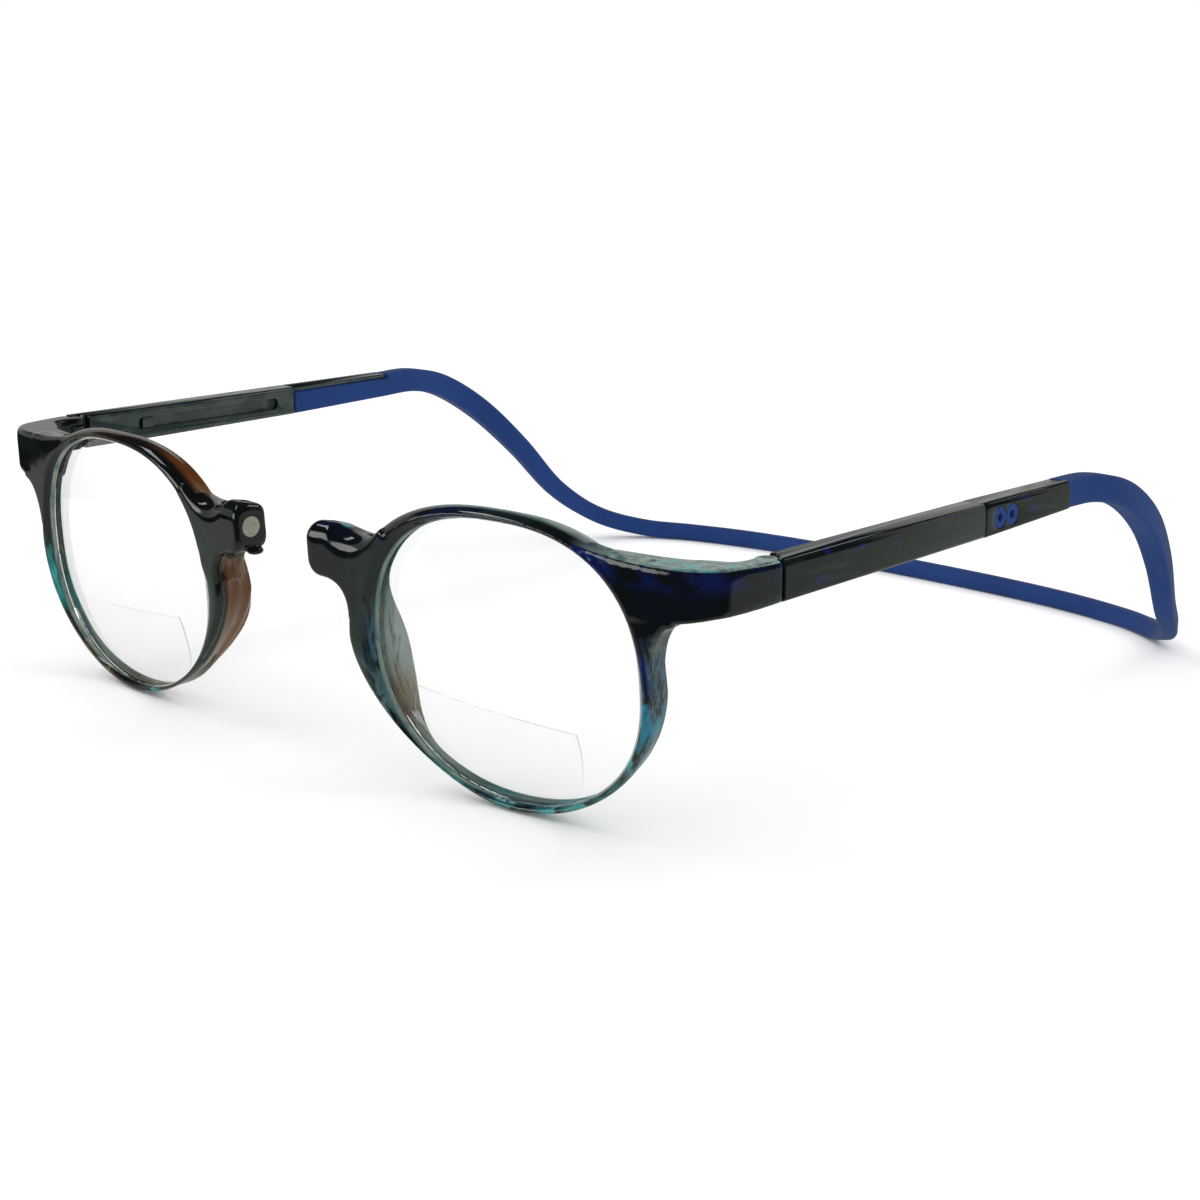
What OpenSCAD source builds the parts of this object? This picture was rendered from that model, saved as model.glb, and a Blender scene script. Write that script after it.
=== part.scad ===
// Bifocal glasses that open at the bridge, with telescoping temples and a flexible headband.
// They stand as they lie on a table: bridge open, both rims and the back of the band on the floor.
// +Z is up, the lenses look towards -Y, and the wearer's left half is on +X.

/* [Lens opening] */
// From the lens centre to the opening's edge on the temple side
open_side = 22.1; // [20:0.1:23]
// From the lens centre to the opening's edge on the nose side
open_nose = 22.4; // [21:0.1:23]
// From the lens centre to the opening's top
open_top = 19.4; // [18:0.1:21]
// From the lens centre to the opening's bottom
open_low = 18.3; // [17:0.1:20]

/* [Rim] */
// Width of the rim's face above the lens
face_top = 1.6; // [1.5:0.1:3]
// Width of the rim's face below the lens
face_low = 1.8; // [1.5:0.1:3]
// Width of the rim's face on the temple side
face_side = 2.5; // [2:0.1:3.5]
// Width of the rim's face on the nose side
face_nose = 4.9; // [4:0.1:5.5]
// Depth of the rim from front to back
rim_depth = 4.4; // [4:0.1:5.5]
// How much deeper the rim grows at the nose pad
pad_depth = 3.2; // [3:0.1:5]
// How far the nose pad's rear edge lies inside the rim's edge
pad_taper = 2.2; // [1:0.1:3]

/* [Lens] */
// Thickness of the lens
lens_t = 2; // [1.6:0.1:2.2]
// Radius of the lens's front curve
lens_curve = 110; // [90:1:160]
// How deep the lens sits in the rim's groove
groove = 0.8; // [0.5:0.1:1]
// Width of the reading segment
segment_w = 29; // [25:0.5:30]
// Straight top of the reading segment below the lens centre
segment_drop = 6; // [4:0.1:9]
// Angle that the reading segment's top falls towards the temple
segment_turn = 3.5; // [0:0.5:5]
// Ledge of the reading segment above the lens
segment_ledge = 0.3; // [0.2:0.05:0.4]

/* [Bridge] */
// Height of a bridge lug
lug_h = 7.5; // [6.5:0.1:8.5]
// Depth of a bridge lug
lug_d = 5.6; // [5:0.1:7]
// Height of a lug's middle above the floor
lug_z = 31.3; // [30:0.1:33]
// Diameter of a bridge magnet
magnet_d = 3; // [2:0.1:4]
// Length of a bridge magnet
magnet_l = 3; // [2:0.1:4]
// Angle that each half stands open from the closed bridge
rest_open = 3; // [2:0.1:5]

/* [Place of the lenses] */
// Lens centre from the middle
lens_x = 41.4; // [40:0.1:43]
// Lens centre ahead of the hinge seam
lens_ahead = 15; // [14:0.1:16]
// Angle that each front half is turned outward
wrap = 5.3; // [4:0.1:7]
// Angle that the top of the lens leans forward
tilt = 4.1; // [2:0.1:6]

/* [Temples] */
// Outer face of the temple at the hinge seam from the middle
temple_x = 76.7; // [75:0.1:79]
// Angle by which the temples close in towards the back
temple_in = 1.4; // [0:0.1:3]
// Top of the temple above the floor
temple_z = 37.7; // [36:0.1:39]
// Thickness of the temple
temple_w = 4.2; // [4:0.1:5]
// Height of the temple at the hinge
sleeve_h = 5.5; // [5.2:0.1:6.5]
// Height of the temple where the sleeve ends
shell_h = 4.8; // [4.6:0.1:5.2]
// Height of the temple where the rear shell ends
shell_end_h = 4.1; // [3.9:0.1:4.5]
// Length of the sleeve
sleeve_l = 44.9; // [42:0.1:48]
// Length of the rear shell
shell_l = 21.6; // [18:0.1:24]
// Travel of the sleeve on its slider
travel = 25; // [15:0.5:26]

/* [Hinge] */
// Diameter of the hinge barrels
barrel_d = 3.2; // [3:0.1:3.6]
// Diameter of the hinge screw's shank
screw_d = 1.2; // [1:0.1:1.4]

/* [Headband] */
// Back of the band's centre line behind the hinge seam
band_back = 132.3; // [125:0.1:140]
// Height of the band's section at the back
band_h = 3.1; // [2.8:0.1:3.6]
// Thickness of the band's section at the back
band_t = 2.7; // [2.4:0.1:3.2]
// Diameter of each disc of the stud that holds the band in the shell
stud_d = 3.1; // [2.6:0.1:3.3]

/* [Hidden] */
$fn = 32;
eps = 0.01;

// Colours as the photo shows them
frame_colour = [0.13, 0.17, 0.18];
temple_colour = [0.16, 0.19, 0.18];
band_colour = [0.09, 0.18, 0.45];
lens_colour = [0.85, 0.92, 0.95, 0.35];
steel_colour = [0.75, 0.74, 0.72];

// Exponents of the outlines' quarters, from the upper temple side round to the lower temple side
open_bend = [2.46, 2.43, 2.07, 2.24];
rim_bend = [2.5, 2.5, 1.63, 1.98];
draft = 1.3;
rim_steps = 72;
pad_middle = 181;
pad_above = 34;
pad_below = 40;
pad_lean = 1.1;
pad_turn = 7;
scoop_v = 4.3;
scoop_r = 1.7;
edge_round = 0.6;
seat_gap = 0.05;

// Seam between end piece and temple, and the floor under the lens
seam_y = 18;
lens_y = seam_y - lens_ahead;
rim_touch = edge_round * 2;
lens_z = (open_low + face_low) * cos(tilt) - rim_touch * sin(tilt);

// Upright line about which a half opens, where the band starts to cross the back
flex_x = 50;
back_bow = 5.4;
flex_y = seam_y + band_back - back_bow;
flex_gap = 0.3;
knuckle_inset = 0.05;
band_z = band_h / 2;

// Bridge lug: its end face stands in the plane of the closed bridge, its front is flush with the rim
lug_front = 1.45;
end_x = flex_x - flex_x * cos(rest_open) + (flex_y - lug_front) * sin(rest_open);
end_y = flex_y - flex_x * sin(rest_open) - (flex_y - lug_front) * cos(rest_open);
lug_u = (end_x - lens_x) * cos(wrap) + (end_y - lens_y) * sin(wrap);
lug_top = (lug_z + lug_h / 2 - lens_z) / cos(tilt);
lug_low = lug_top - lug_h / cos(tilt);
root_u = -open_nose - face_nose;
lug_drop = 2.3;
lug_fall = 0.27;
lug_round = 2.3;
lug_corner = 1.1;
round_d = 2.4;
root_phi = 141;
root_turn = 3;
root_rise = 0.5;
web_r = 4.6;
shoulder_from = 10;
shoulder_l = 14;
shoulder_h = 1.9;
web_h = 9;
web_top = 10.2;
magnet_y = lug_front + lug_d / 2 - 0.1;
magnet_z = lug_z + 0.4;
key_l = 0.6;
key_w = 2.8;
key_h = 1.2;
key_y = lug_front + 2.1;
key_drop = 0.1;
key_slack = 0.12;

// Temple, drawn in its own frame: X from the outer face, Y along the temple, Z from the top
seam_gap = 0.1;
pin_x = -2.9;
barrel_slack = 0.15;
ear_h = 1.4;
screw_head_d = 1.9;
screw_head_h = 0.7;
tongue_w = 1.6;
tongue_h = 2.7;
tongue_x = -2.15;
tongue_z = -2.55;
tongue_start = 10;
cavity_slack = 0.05;
tab_l = 2.2;
panel_h = 3.3;
panel_d = 0.3;
window_h = 2;
window_start = 12.6;
window_l = travel + tab_l + 0.6;
shell_t = 1.6;
lip_t = 0.8;
root_l = 9;
stud_pitch = 3;
stud_from_seam = 5;
gate_d = 0.9;

// The part is centred on its depth
front_y = flex_y + (lug_front - flex_y) * cos(rest_open) - flex_x * sin(rest_open);
back_y = seam_y + band_back + band_t / 2;
middle_y = (front_y + back_y) / 2;

// Radius of a flattened ellipse at an angle
function bent(a, b, bend, phi) = pow(pow(abs(cos(phi)) / a, bend) + pow(abs(sin(phi)) / b, bend), -1 / bend);
function quarter(phi) = floor((((phi % 360) + 360) % 360) / 90);
function across(phi, side, nose) = cos(phi) > 0 ? side : nose;
function upright(phi, top, low) = sin(phi) > 0 ? top : low;
function opening(phi) =
    bent(across(phi, open_side, open_nose), upright(phi, open_top, open_low), open_bend[quarter(phi)], phi);
function rim_edge(phi) =
    bent(across(phi, open_side + face_side, open_nose + face_nose),
        upright(phi, open_top + face_top, open_low + face_low), rim_bend[quarter(phi)], phi);
function pad(phi) =
    let (off = phi - pad_middle, share = off / (off < 0 ? pad_above : pad_below))
    abs(share) < 1 ? pow(cos(90 * share), 2) : 0;
function sag(r) = r * r / (2 * lens_curve);
function lens_front(r) = -0.35 + sag(r) - segment_ledge;
function on_ring(phi, p) = [p[0] * cos(phi), p[1], p[0] * sin(phi)];

// Closed rings of equal length become one solid, capped at both ends or joined end to end
function ring_faces(rings, count) =
    [for (i = [0:rings - 1]) for (j = [0:count - 1]) for (k = [0, 1])
        let (a = i * count + j, b = i * count + (j + 1) % count, c = a + count, d = b + count)
        k == 0 ? [a, b, d] : [a, d, c]];
module loft(rings) {
    count = len(rings[0]);
    last = (len(rings) - 1) * count;
    polyhedron(points = [for (ring = rings) each ring],
        faces = concat([[for (j = [count - 1:-1:0]) j]], ring_faces(len(rings) - 1, count),
            [[for (j = [0:count - 1]) last + j]]), convexity = 6);
}
module hoop(rings) {
    count = len(rings[0]);
    total = len(rings) * count;
    polyhedron(points = [for (ring = rings) each ring],
        faces = [for (face = ring_faces(len(rings), count)) [for (v = face) v % total]], convexity = 10);
}

// An outline drawn in across and up, inset along its own normals
function turned(outline, i) =
    let (n = len(outline), a = outline[(i + n - 1) % n], b = outline[(i + 1) % n], d = b - a)
    [-d[1], d[0]] / norm(d);
function inset(outline, by) = [for (i = [0:len(outline) - 1]) outline[i] + by * turned(outline, i)];
function arc(centre, r, from, to, steps = 6) =
    [for (i = [0:steps]) let (a = from + (to - from) * i / steps) centre + r * [cos(a), sin(a)]];

// A thick plate with bevelled edges, from an anticlockwise outline seen from the front
module plate_along_y(outline, y0, y1, bevel) {
    loft([for (s = [[y0, bevel], [y0 + bevel, 0], [y1 - bevel, 0], [y1, bevel]])
        [for (p = inset(outline, s[1])) [p[0], s[0], p[1]]]]);
}
module plate_along_z(outline, z0, z1, bevel, lean, rise) {
    loft([for (s = [[z1, bevel, 0], [z1 - bevel, 0, 0], [z0 + bevel, 0, 1], [z0, bevel, 1]])
        [for (p = inset(outline, s[1])) [p[0], p[1] - (s[0] - z0) * lean(p[1]), s[0] + s[2] * rise(p)]]]);
}

// Places
module centred() {
    translate([0, -middle_y, 0]) children();
}
module half(side) {
    centred() mirror([side < 0 ? 1 : 0, 0, 0]) children();
}
module lens_frame() {
    translate([lens_x, lens_y, lens_z]) rotate([tilt, 0, wrap]) children();
}
module bridge_frame() {
    translate([flex_x, flex_y, 0]) rotate([0, 0, rest_open]) translate([-flex_x, -flex_y, 0]) children();
}
module temple_frame() {
    translate([temple_x, seam_y, temple_z]) rotate([0, 0, temple_in]) children();
}

// Front half
function rim_section(phi) =
    let (a = opening(phi), b = rim_edge(phi), w = b - a, g = lens_front(a), h = lens_front(a + groove),
        wing = pad(phi), d = rim_depth + pad_depth * wing, slope = draft * abs(sin(phi)),
        deep = rim_depth + (pad_depth + pad_lean) * pad(phi - pad_turn),
        out = max(b - pad_taper * wing - slope, a + 0.8), r = min(0.5, (out - a) / 3))
    [[a, 1.1], [a + 0.25 * w, 0.6], [a + 0.42 * w, 0.2], [a + 0.6 * w, 0], [b - edge_round * 0.8, 0],
        [b - 0.15, edge_round * 0.6], [b, rim_touch],
        [b - 1.6 * wing - 0.5 * slope, 2.6 + wing], [out, d - 1.5], [out - 0.3 * r, d - 0.3 * r],
        [out - r, d], [a + r, deep], [a, deep - r], [a, g + lens_t + seat_gap],
        [a + groove, h + lens_t + seat_gap], [a + groove, h - seat_gap], [a, g - seat_gap]];
module rim() {
    lens_frame() hoop([for (i = [rim_steps:-1:1]) let (phi = i * 360 / rim_steps)
        [for (p = rim_section(phi)) on_ring(phi, p)]]);
}
// Outline of the bridge lug, run into the rim above and below: flat in front, full behind its rounding
function curve(a, b, c, steps = 8) =
    [for (i = [0:steps]) let (t = i / steps) (1 - t) * (1 - t) * a + 2 * t * (1 - t) * b + t * t * c];
function lug_outline(y) =
    let (full = sqrt(1 - pow(1 - min(1, y / round_d), 2)), e = lug_u, r = lug_round, c = lug_corner,
        behind = max(0, y - round_d), top = lug_top - lug_drop * (1 - full) - lug_fall * behind,
        k = 0.3 + full * (c - 0.3), phi = root_phi + root_turn * behind, way = [cos(phi), sin(phi)],
        edge = rim_edge(phi) - 0.2 - draft * sin(phi) * max(0, min(1, (y - rim_touch) / 1.7)))
    concat([for (a = [90:15:180]) [e + c + c * cos(a), top - k + k * sin(a)]],
        arc([e + r, lug_low + r], r, 180, 270),
        curve([e + 2.8, lug_low], [root_u + 0.5, lug_low - 0.3], [root_u + 0.2, 2.2]),
        [[root_u + 3, 2.2], (edge - 2.4) * way],
        curve(edge * way, [root_u + 1.9 + 0.4 * full, top - 4.1 + 1.5 * full + root_rise * behind],
            [e + 4, top + 0.1 * (1 - full)]));
module lug_body() {
    layers = [[0, 0.5], [0.2, 0.15], [0.6, 0], [1.3, 0], [round_d, 0], [3.4, 0], [lug_d - 0.8, 0],
        [lug_d - 0.2, 0.3], [lug_d, 0.8]];
    lens_frame() loft([for (s = layers)
        [for (p = inset(lug_outline(s[0]), s[1]))
            [p[0] + s[0] * tan(wrap - rest_open), s[0], p[1]]]]);
}
// Ridge along the rear of one lug's top
module ridge() {
    top = lug_z + lug_h / 2 + 0.1;
    translate([0, lug_front + lug_d - 0.3, 0]) rotate([90, 0, 0]) linear_extrude(1.8)
        polygon([[1.2, top - 2], [9.4, top - 2.8], [8.4, top - 2], [6.6, top - 1.2], [4.4, top - 0.75],
            [2.6, top - 1], [1.2, top - 1.5]]);
}
module lug(side) {
    difference() {
        union() {
            lug_body();
            if (side > 0) bridge_frame() ridge();
        }
        if (side > 0) bridge_frame() translate([-1, key_y - key_slack, lug_z - lug_h / 2 - 1])
            cube([key_l + key_slack + 1, key_w + 2 * key_slack, key_h - key_drop + key_slack + 1]);
    }
    if (side < 0) bridge_frame()
        translate([-key_l, key_y, lug_z - lug_h / 2 - key_drop]) cube([key_l + 1.5, key_w, key_h]);
}
// Plan of the end piece: along the front, round the corner and back to the seam
function seam_point(x, y) =
    [temple_x + x * cos(temple_in) - y * sin(temple_in), seam_y + x * sin(temple_in) + y * cos(temple_in)];
function front_point(u, back) =
    [lens_x + u * cos(wrap) - back * sin(wrap), lens_y + u * sin(wrap) + back * cos(wrap)];
end_deeper = 2.2;
end_low = temple_z - sleeve_h - end_deeper;
end_top = temple_z - 0.1;
corner_u = temple_x - lens_x - 1.2;
end_reach = 14;
end_rise_u = 26;
end_rise_y = lens_y + 4;
end_rise = 0.6;
function end_plan() =
    concat([front_point(end_reach, 4.3), front_point(end_reach, -0.7)],
        [front_point(corner_u - 5, -0.7), front_point(corner_u - 3.5, 0.2)],
        [front_point(corner_u - 2, 1.5), front_point(corner_u - 0.8, 3), front_point(corner_u - 0.1, 4.6)],
        [seam_point(-0.2, -3), seam_point(0, -seam_gap)],
        [seam_point(-temple_w, -seam_gap), seam_point(-temple_w, -4.5)],
        [front_point(corner_u - 5.5, 6.2), front_point(corner_u - 8.1, 4.6)]);
module end_piece() {
    lean = function (y) tan(tilt) * max(0, min(1, (seam_y - 9 - y) / 6));
    rise = function (p)
        let (out = max(0, min(1, (p[0] - lens_x - end_rise_u) / 7)),
            behind = max(0, min(1, (p[1] - end_rise_y) / (seam_y - end_rise_y))))
        end_deeper * (behind + (1 - behind) * out * end_rise);
    plate_along_z(end_plan(), end_low, end_top, 0.5, lean, rise);
}
// Web that fills the corner under the end piece
function web_outline() =
    let (r = web_r, h = web_h, x = open_side + face_side - 0.1, z = web_top)
    concat([[x - 3, z - h]], [for (a = [0:10:90]) [x + r - r * cos(a), z - h + h * sin(a)]],
        [[x + r, z + 2], [x - 3, z + 2]]);
module web() {
    lens_frame() plate_along_y(web_outline(), 0.1, rim_depth - 0.4, 0.5);
}
// Shoulder that runs from the top of the rim down to the top of the end piece
module shoulder() {
    top = (end_top - lens_z) / cos(tilt);
    outline = concat([[shoulder_from, top - 2], [shoulder_from + shoulder_l, top - 2]],
        [for (s = [1:-0.1:0]) [shoulder_from + s * shoulder_l, top + shoulder_h * (1 - s) * (1 - s)]]);
    lens_frame() plate_along_y(outline, 0.3, rim_depth - 1, 0.5);
}
// The front half's stretches run into each other as one moulded surface of unchanged size
module moulded() {
    resize([0, 0, 0]) union() children();
}
module barrel(z0, z1, d) {
    translate([pin_x, 0, z0]) cylinder(d = d, h = z1 - z0);
}
module front(side) {
    color(frame_colour) half(side) difference() {
        moulded() {
            rim();
            difference() {
                union() {
                    lug(side);
                    end_piece();
                    web();
                    shoulder();
                }
                lens_frame() rotate([-90, 0, 0]) translate([0, 0, -3]) linear_extrude(20)
                    polygon([for (i = [0:rim_steps - 1]) let (phi = -i * 360 / rim_steps)
                        (opening(-phi) + groove + 0.5) * [cos(phi), sin(phi)]]);
                temple_frame() barrel(-sleeve_h + ear_h, -ear_h, barrel_d + 2 * barrel_slack);
            }
            temple_frame() {
                barrel(-ear_h, -0.15, barrel_d);
                barrel(-sleeve_h, -sleeve_h + ear_h, barrel_d);
            }
        }
        temple_frame() {
            barrel(-sleeve_h - 1, 1, screw_d);
            barrel(-0.15 - screw_head_h, 1, screw_head_d);
        }
        bridge_frame() translate([-1, magnet_y, magnet_z]) rotate([0, 90, 0])
            cylinder(d = magnet_d, h = magnet_l + 1);
        // Scooped recess under the lug, in front of the nose pad
        lens_frame() translate([root_u - 0.7, 1.9, scoop_v]) scale([1, 1, 1.5]) sphere(scoop_r);
    }
}

// Lens with its reading segment, a disc of glass cut to the rim's outline
module lens_disc(front_y, back_y, r) {
    steps = 12;
    rotate([-90, 0, 0]) rotate_extrude($fn = 90)
        polygon(concat([for (i = [0:steps]) let (q = r * i / steps) [q, sag(q) + front_y]],
            [for (i = [steps:-1:0]) let (q = r * i / steps) [q, sag(q) + back_y]]));
}
module lens(side) {
    reach = open_nose + 4;
    base = lens_front(0);
    color(lens_colour) half(side) lens_frame() {
        intersection() {
            lens_disc(base, base + lens_t, reach);
            rotate([-90, 0, 0]) translate([0, 0, -5]) linear_extrude(20)
                polygon([for (i = [0:rim_steps - 1]) let (phi = -i * 360 / rim_steps)
                    (opening(-phi) + groove - seat_gap) * [cos(phi), sin(phi)]]);
        }
        intersection() {
            lens_disc(base - segment_ledge, base + lens_t / 2, reach);
            rotate([-90, 0, 0]) translate([-1, 0, -5]) rotate([0, 0, segment_turn]) linear_extrude(20)
                intersection() {
                    translate([0, segment_drop + 4.5]) circle(d = segment_w, $fn = 64);
                    translate([-segment_w, segment_drop]) square([segment_w * 2, 30]);
                }
            rotate([-90, 0, 0]) translate([0, 0, -5]) linear_extrude(20)
                polygon([for (i = [0:rim_steps - 1]) let (phi = -i * 360 / rim_steps)
                    (opening(-phi) - 0.3) * [cos(phi), sin(phi)]]);
        }
    }
}
module magnet(side) {
    color(steel_colour) half(side) bridge_frame() translate([0.05, magnet_y, magnet_z]) rotate([0, 90, 0])
        cylinder(d = magnet_d, h = magnet_l - 0.05);
}
module hinge_screw(side) {
    color(steel_colour) half(side) temple_frame() {
        barrel(-sleeve_h + 0.2, -0.5, screw_d);
        difference() {
            barrel(-0.1 - screw_head_h, -0.2, screw_head_d);
            translate([pin_x - 1, -0.15, -0.45]) cube([2, 0.3, 1]);
        }
    }
}

// Temple
function bar_ring(y, x0, x1, z0, z1, r = 0.5) =
    [for (c = [[x1 - r, z1 - r, 0], [x0 + r, z1 - r, 90], [x0 + r, z0 + r, 180], [x1 - r, z0 + r, 270]])
        for (a = [0, 45, 90]) [c[0] + r * cos(a + c[2]), y, c[1] + r * sin(a + c[2])]];
function taper(y, y0, y1, a, b) = a + (b - a) * (y - y0) / (y1 - y0);
// A long opening with round ends, cut into the temple's inner side down to a level
module slot(y0, y1, h, level) {
    translate([-temple_w - 1, y0, tongue_z - h / 2]) cube([temple_w + 1 + level, y1 - y0, h]);
    for (y = [y0, y1]) translate([-temple_w - 1, y, tongue_z]) rotate([0, 90, 0])
        cylinder(d = h, h = temple_w + 1 + level);
}
module sleeve(side) {
    color(temple_colour) half(side) temple_frame() difference() {
        union() {
            difference() {
                loft([for (y = [seam_gap, sleeve_l]) bar_ring(y, -temple_w, 0,
                    -taper(y, 0, sleeve_l, sleeve_h, shell_h), 0)]);
                translate([-temple_w - 1, -1, -sleeve_h - 1])
                    cube([temple_w + 1 + pin_x + 0.1, 3.2, sleeve_h + 2]);
                barrel(-ear_h - barrel_slack, 1, barrel_d + 2 * barrel_slack);
                barrel(-sleeve_h - 1, -sleeve_h + ear_h + barrel_slack, barrel_d + 2 * barrel_slack);
            }
            barrel(-sleeve_h + ear_h + barrel_slack, -ear_h - barrel_slack, barrel_d);
        }
        barrel(-sleeve_h - 1, 1, screw_d + 0.1);
        translate([tongue_x, tongue_start - 1, tongue_z]) translate([-tongue_w, 0, -tongue_h] / 2)
            translate([-cavity_slack, 0, -cavity_slack])
            cube([tongue_w + 2 * cavity_slack, sleeve_l, tongue_h + 2 * cavity_slack]);
        slot(window_start, window_start + window_l, window_h, tongue_x);
        slot(window_start + 1, sleeve_l + 3, panel_h, panel_d - temple_w);
    }
}
shell_start = sleeve_l + seam_gap;
shell_end = shell_start + shell_l;
module studs(d, x0, x1) {
    for (k = [-1, 1]) translate([x0, shell_start + stud_from_seam + k * stud_pitch / 2, -shell_h / 2])
        rotate([0, 90, 0]) cylinder(d = d, h = x1 - x0);
}
module tongue() {
    translate([tongue_x - tongue_w / 2, tongue_start, tongue_z - tongue_h / 2])
        cube([tongue_w, shell_start + root_l - tongue_start, tongue_h]);
}
module slider(side) {
    color(temple_colour) half(side) temple_frame() difference() {
        union() {
            loft([for (y = [shell_start, shell_end]) bar_ring(y, -shell_t, 0,
                -taper(y, shell_start, shell_end, shell_h, shell_end_h), 0, 0.4)]);
            loft([for (y = [shell_start, shell_end - 3]) bar_ring(y,
                -taper(y, shell_start, shell_end, temple_w - 0.1, temple_w * 0.5), -0.2, -lip_t, 0, 0.3)]);
            tongue();
            translate([-temple_w + 0.5, window_start + 0.3, tongue_z - window_h / 2 + 0.1])
                cube([temple_w - 0.5 + tongue_x, tab_l, window_h - 0.2]);
        }
        studs(stud_d, -temple_w, 1);
    }
}

// Headband: the way of an arm's centre line from the temple's end to the flex line, as shares of the
// distance across, back and down
temple_end = concat(seam_point(-temple_w / 2, shell_end), [temple_z - shell_end_h / 2]);
flex_end = [flex_x, flex_y, band_z];
arm_shares = [[0, 0, 0], [-0.02, 0.13, 0.004], [-0.037, 0.265, 0.068], [0.004, 0.413, 0.23],
    [0.096, 0.55, 0.462], [0.215, 0.675, 0.726], [0.372, 0.81, 0.904], [0.643, 0.923, 0.985], [1, 1, 1]];
arm_route = [for (s = arm_shares) [for (i = [0:2]) temple_end[i] + s[i] * (flex_end[i] - temple_end[i])]];
back_route = [for (s = [1, 0.8, 0.4, 0])
    [s * flex_x, seam_y + band_back - back_bow * (0.45 * pow(s, 2) + 0.55 * pow(s, 4)), band_z]];
function spline(p0, p1, p2, p3, t) =
    0.5 * (2 * p1 + (p2 - p0) * t + (2 * p0 - 5 * p1 + 4 * p2 - p3) * t * t
        + (3 * p1 - p0 - 3 * p2 + p3) * t * t * t);
function along(route, before, after, steps) =
    let (all = concat([before], route, [after]), n = len(route))
    concat([for (i = [0:n - 2]) for (k = [0:steps - 1])
        spline(all[i], all[i + 1], all[i + 2], all[i + 3], k / steps)], [route[n - 1]]);
// A rounded rectangle across a direction, its thickness level and its height at right angles
function band_ring(at, dir, thick, high) =
    let (t = dir / norm(dir), side = cross(t, [0, 0, 1]), b = side / norm(side), h = cross(b, t), r = 0.75)
    [for (c = [[thick / 2 - r, high / 2 - r, 0], [r - thick / 2, high / 2 - r, 90],
        [r - thick / 2, r - high / 2, 180], [thick / 2 - r, r - high / 2, 270]])
        for (a = [0, 30, 60, 90])
            at + b * (c[0] + r * cos(a + c[2])) + h * (c[1] + r * sin(a + c[2]))];
function ease(t) = t < 0 ? 0 : t > 1 ? 1 : t * t * (3 - 2 * t);
function swept(points, thick, high) =
    let (n = len(points))
    [for (i = [0:n - 1])
        let (dir = points[min(i + 1, n - 1)] - points[max(i - 1, 0)], f = ease((i - n / 3) / (n / 2)))
        band_ring(points[i], dir, thick[0] + (thick[1] - thick[0]) * f, high[0] + (high[1] - high[0]) * f)];
module band_arm() {
    route = along(arm_route, arm_route[0] - [0, 6, 0], back_route[1], 5);
    loft(swept(route, [temple_w - 0.2, band_t], [shell_end_h, band_h]));
    // The part of the band that lines the inner side of the shell
    temple_frame() difference() {
        loft([for (y = [shell_start + 0.1, shell_end + 0.4]) bar_ring(y, -temple_w + 0.05, -shell_t - eps,
            -taper(y, shell_start, shell_end, shell_h, shell_end_h) + 0.05, -lip_t - eps, 0.4)]);
        tongue();
    }
}
module flex_socket() {
    translate([flex_x, flex_y, -1]) cylinder(d = band_t + 2 * flex_gap, h = band_h + 2);
}
module band(side) {
    color(band_colour) half(side) {
        difference() {
            band_arm();
            flex_socket();
        }
        temple_frame() difference() {
            studs(stud_d, -temple_w + 0.6, -0.1);
            studs(gate_d, -0.8, 1);
        }
    }
}
module band_back_section() {
    right = [for (p = back_route) [-p[0], p[1], p[2]]];
    route = concat(along([for (i = [3:-1:0]) back_route[i]], right[2], back_route[0] + [6, -4, 0], 6));
    other = [for (i = [len(route) - 1:-1:1]) [-route[i][0], route[i][1], route[i][2]]];
    color(band_colour) centred() {
        loft([for (ring = swept(concat(other, route), [band_t, band_t], [band_h, band_h])) ring]);
        for (side = [-1, 1]) translate([side * flex_x, flex_y, knuckle_inset])
            cylinder(d = band_t - 2 * knuckle_inset, h = band_h - 2 * knuckle_inset);
    }
}

front(1);  // front_left
front(-1);  // front_right
lens(1);  // lens_left
lens(-1);  // lens_right
magnet(1);  // magnet_left
magnet(-1);  // magnet_right
hinge_screw(1);  // hinge_screw_left
hinge_screw(-1);  // hinge_screw_right
sleeve(1);  // sleeve_left
sleeve(-1);  // sleeve_right
slider(1);  // slider_left
slider(-1);  // slider_right
band(1);  // band_left
band(-1);  // band_right
band_back_section();
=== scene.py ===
import math

import bmesh
import bpy
from mathutils import Matrix, Vector


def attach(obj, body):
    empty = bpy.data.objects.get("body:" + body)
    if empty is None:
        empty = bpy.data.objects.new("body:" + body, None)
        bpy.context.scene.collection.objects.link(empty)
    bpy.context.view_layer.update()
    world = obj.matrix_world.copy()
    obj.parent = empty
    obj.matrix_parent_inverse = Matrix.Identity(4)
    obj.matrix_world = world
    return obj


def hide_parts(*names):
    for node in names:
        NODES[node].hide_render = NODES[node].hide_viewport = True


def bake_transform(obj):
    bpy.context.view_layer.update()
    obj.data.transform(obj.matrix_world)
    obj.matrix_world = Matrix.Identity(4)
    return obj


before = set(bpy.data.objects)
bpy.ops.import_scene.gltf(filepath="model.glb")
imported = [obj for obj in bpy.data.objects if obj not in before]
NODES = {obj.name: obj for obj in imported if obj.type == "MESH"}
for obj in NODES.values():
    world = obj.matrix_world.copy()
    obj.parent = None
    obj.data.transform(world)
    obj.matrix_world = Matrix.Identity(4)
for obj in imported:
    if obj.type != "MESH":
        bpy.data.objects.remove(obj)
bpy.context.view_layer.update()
MM = 0.001

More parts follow.
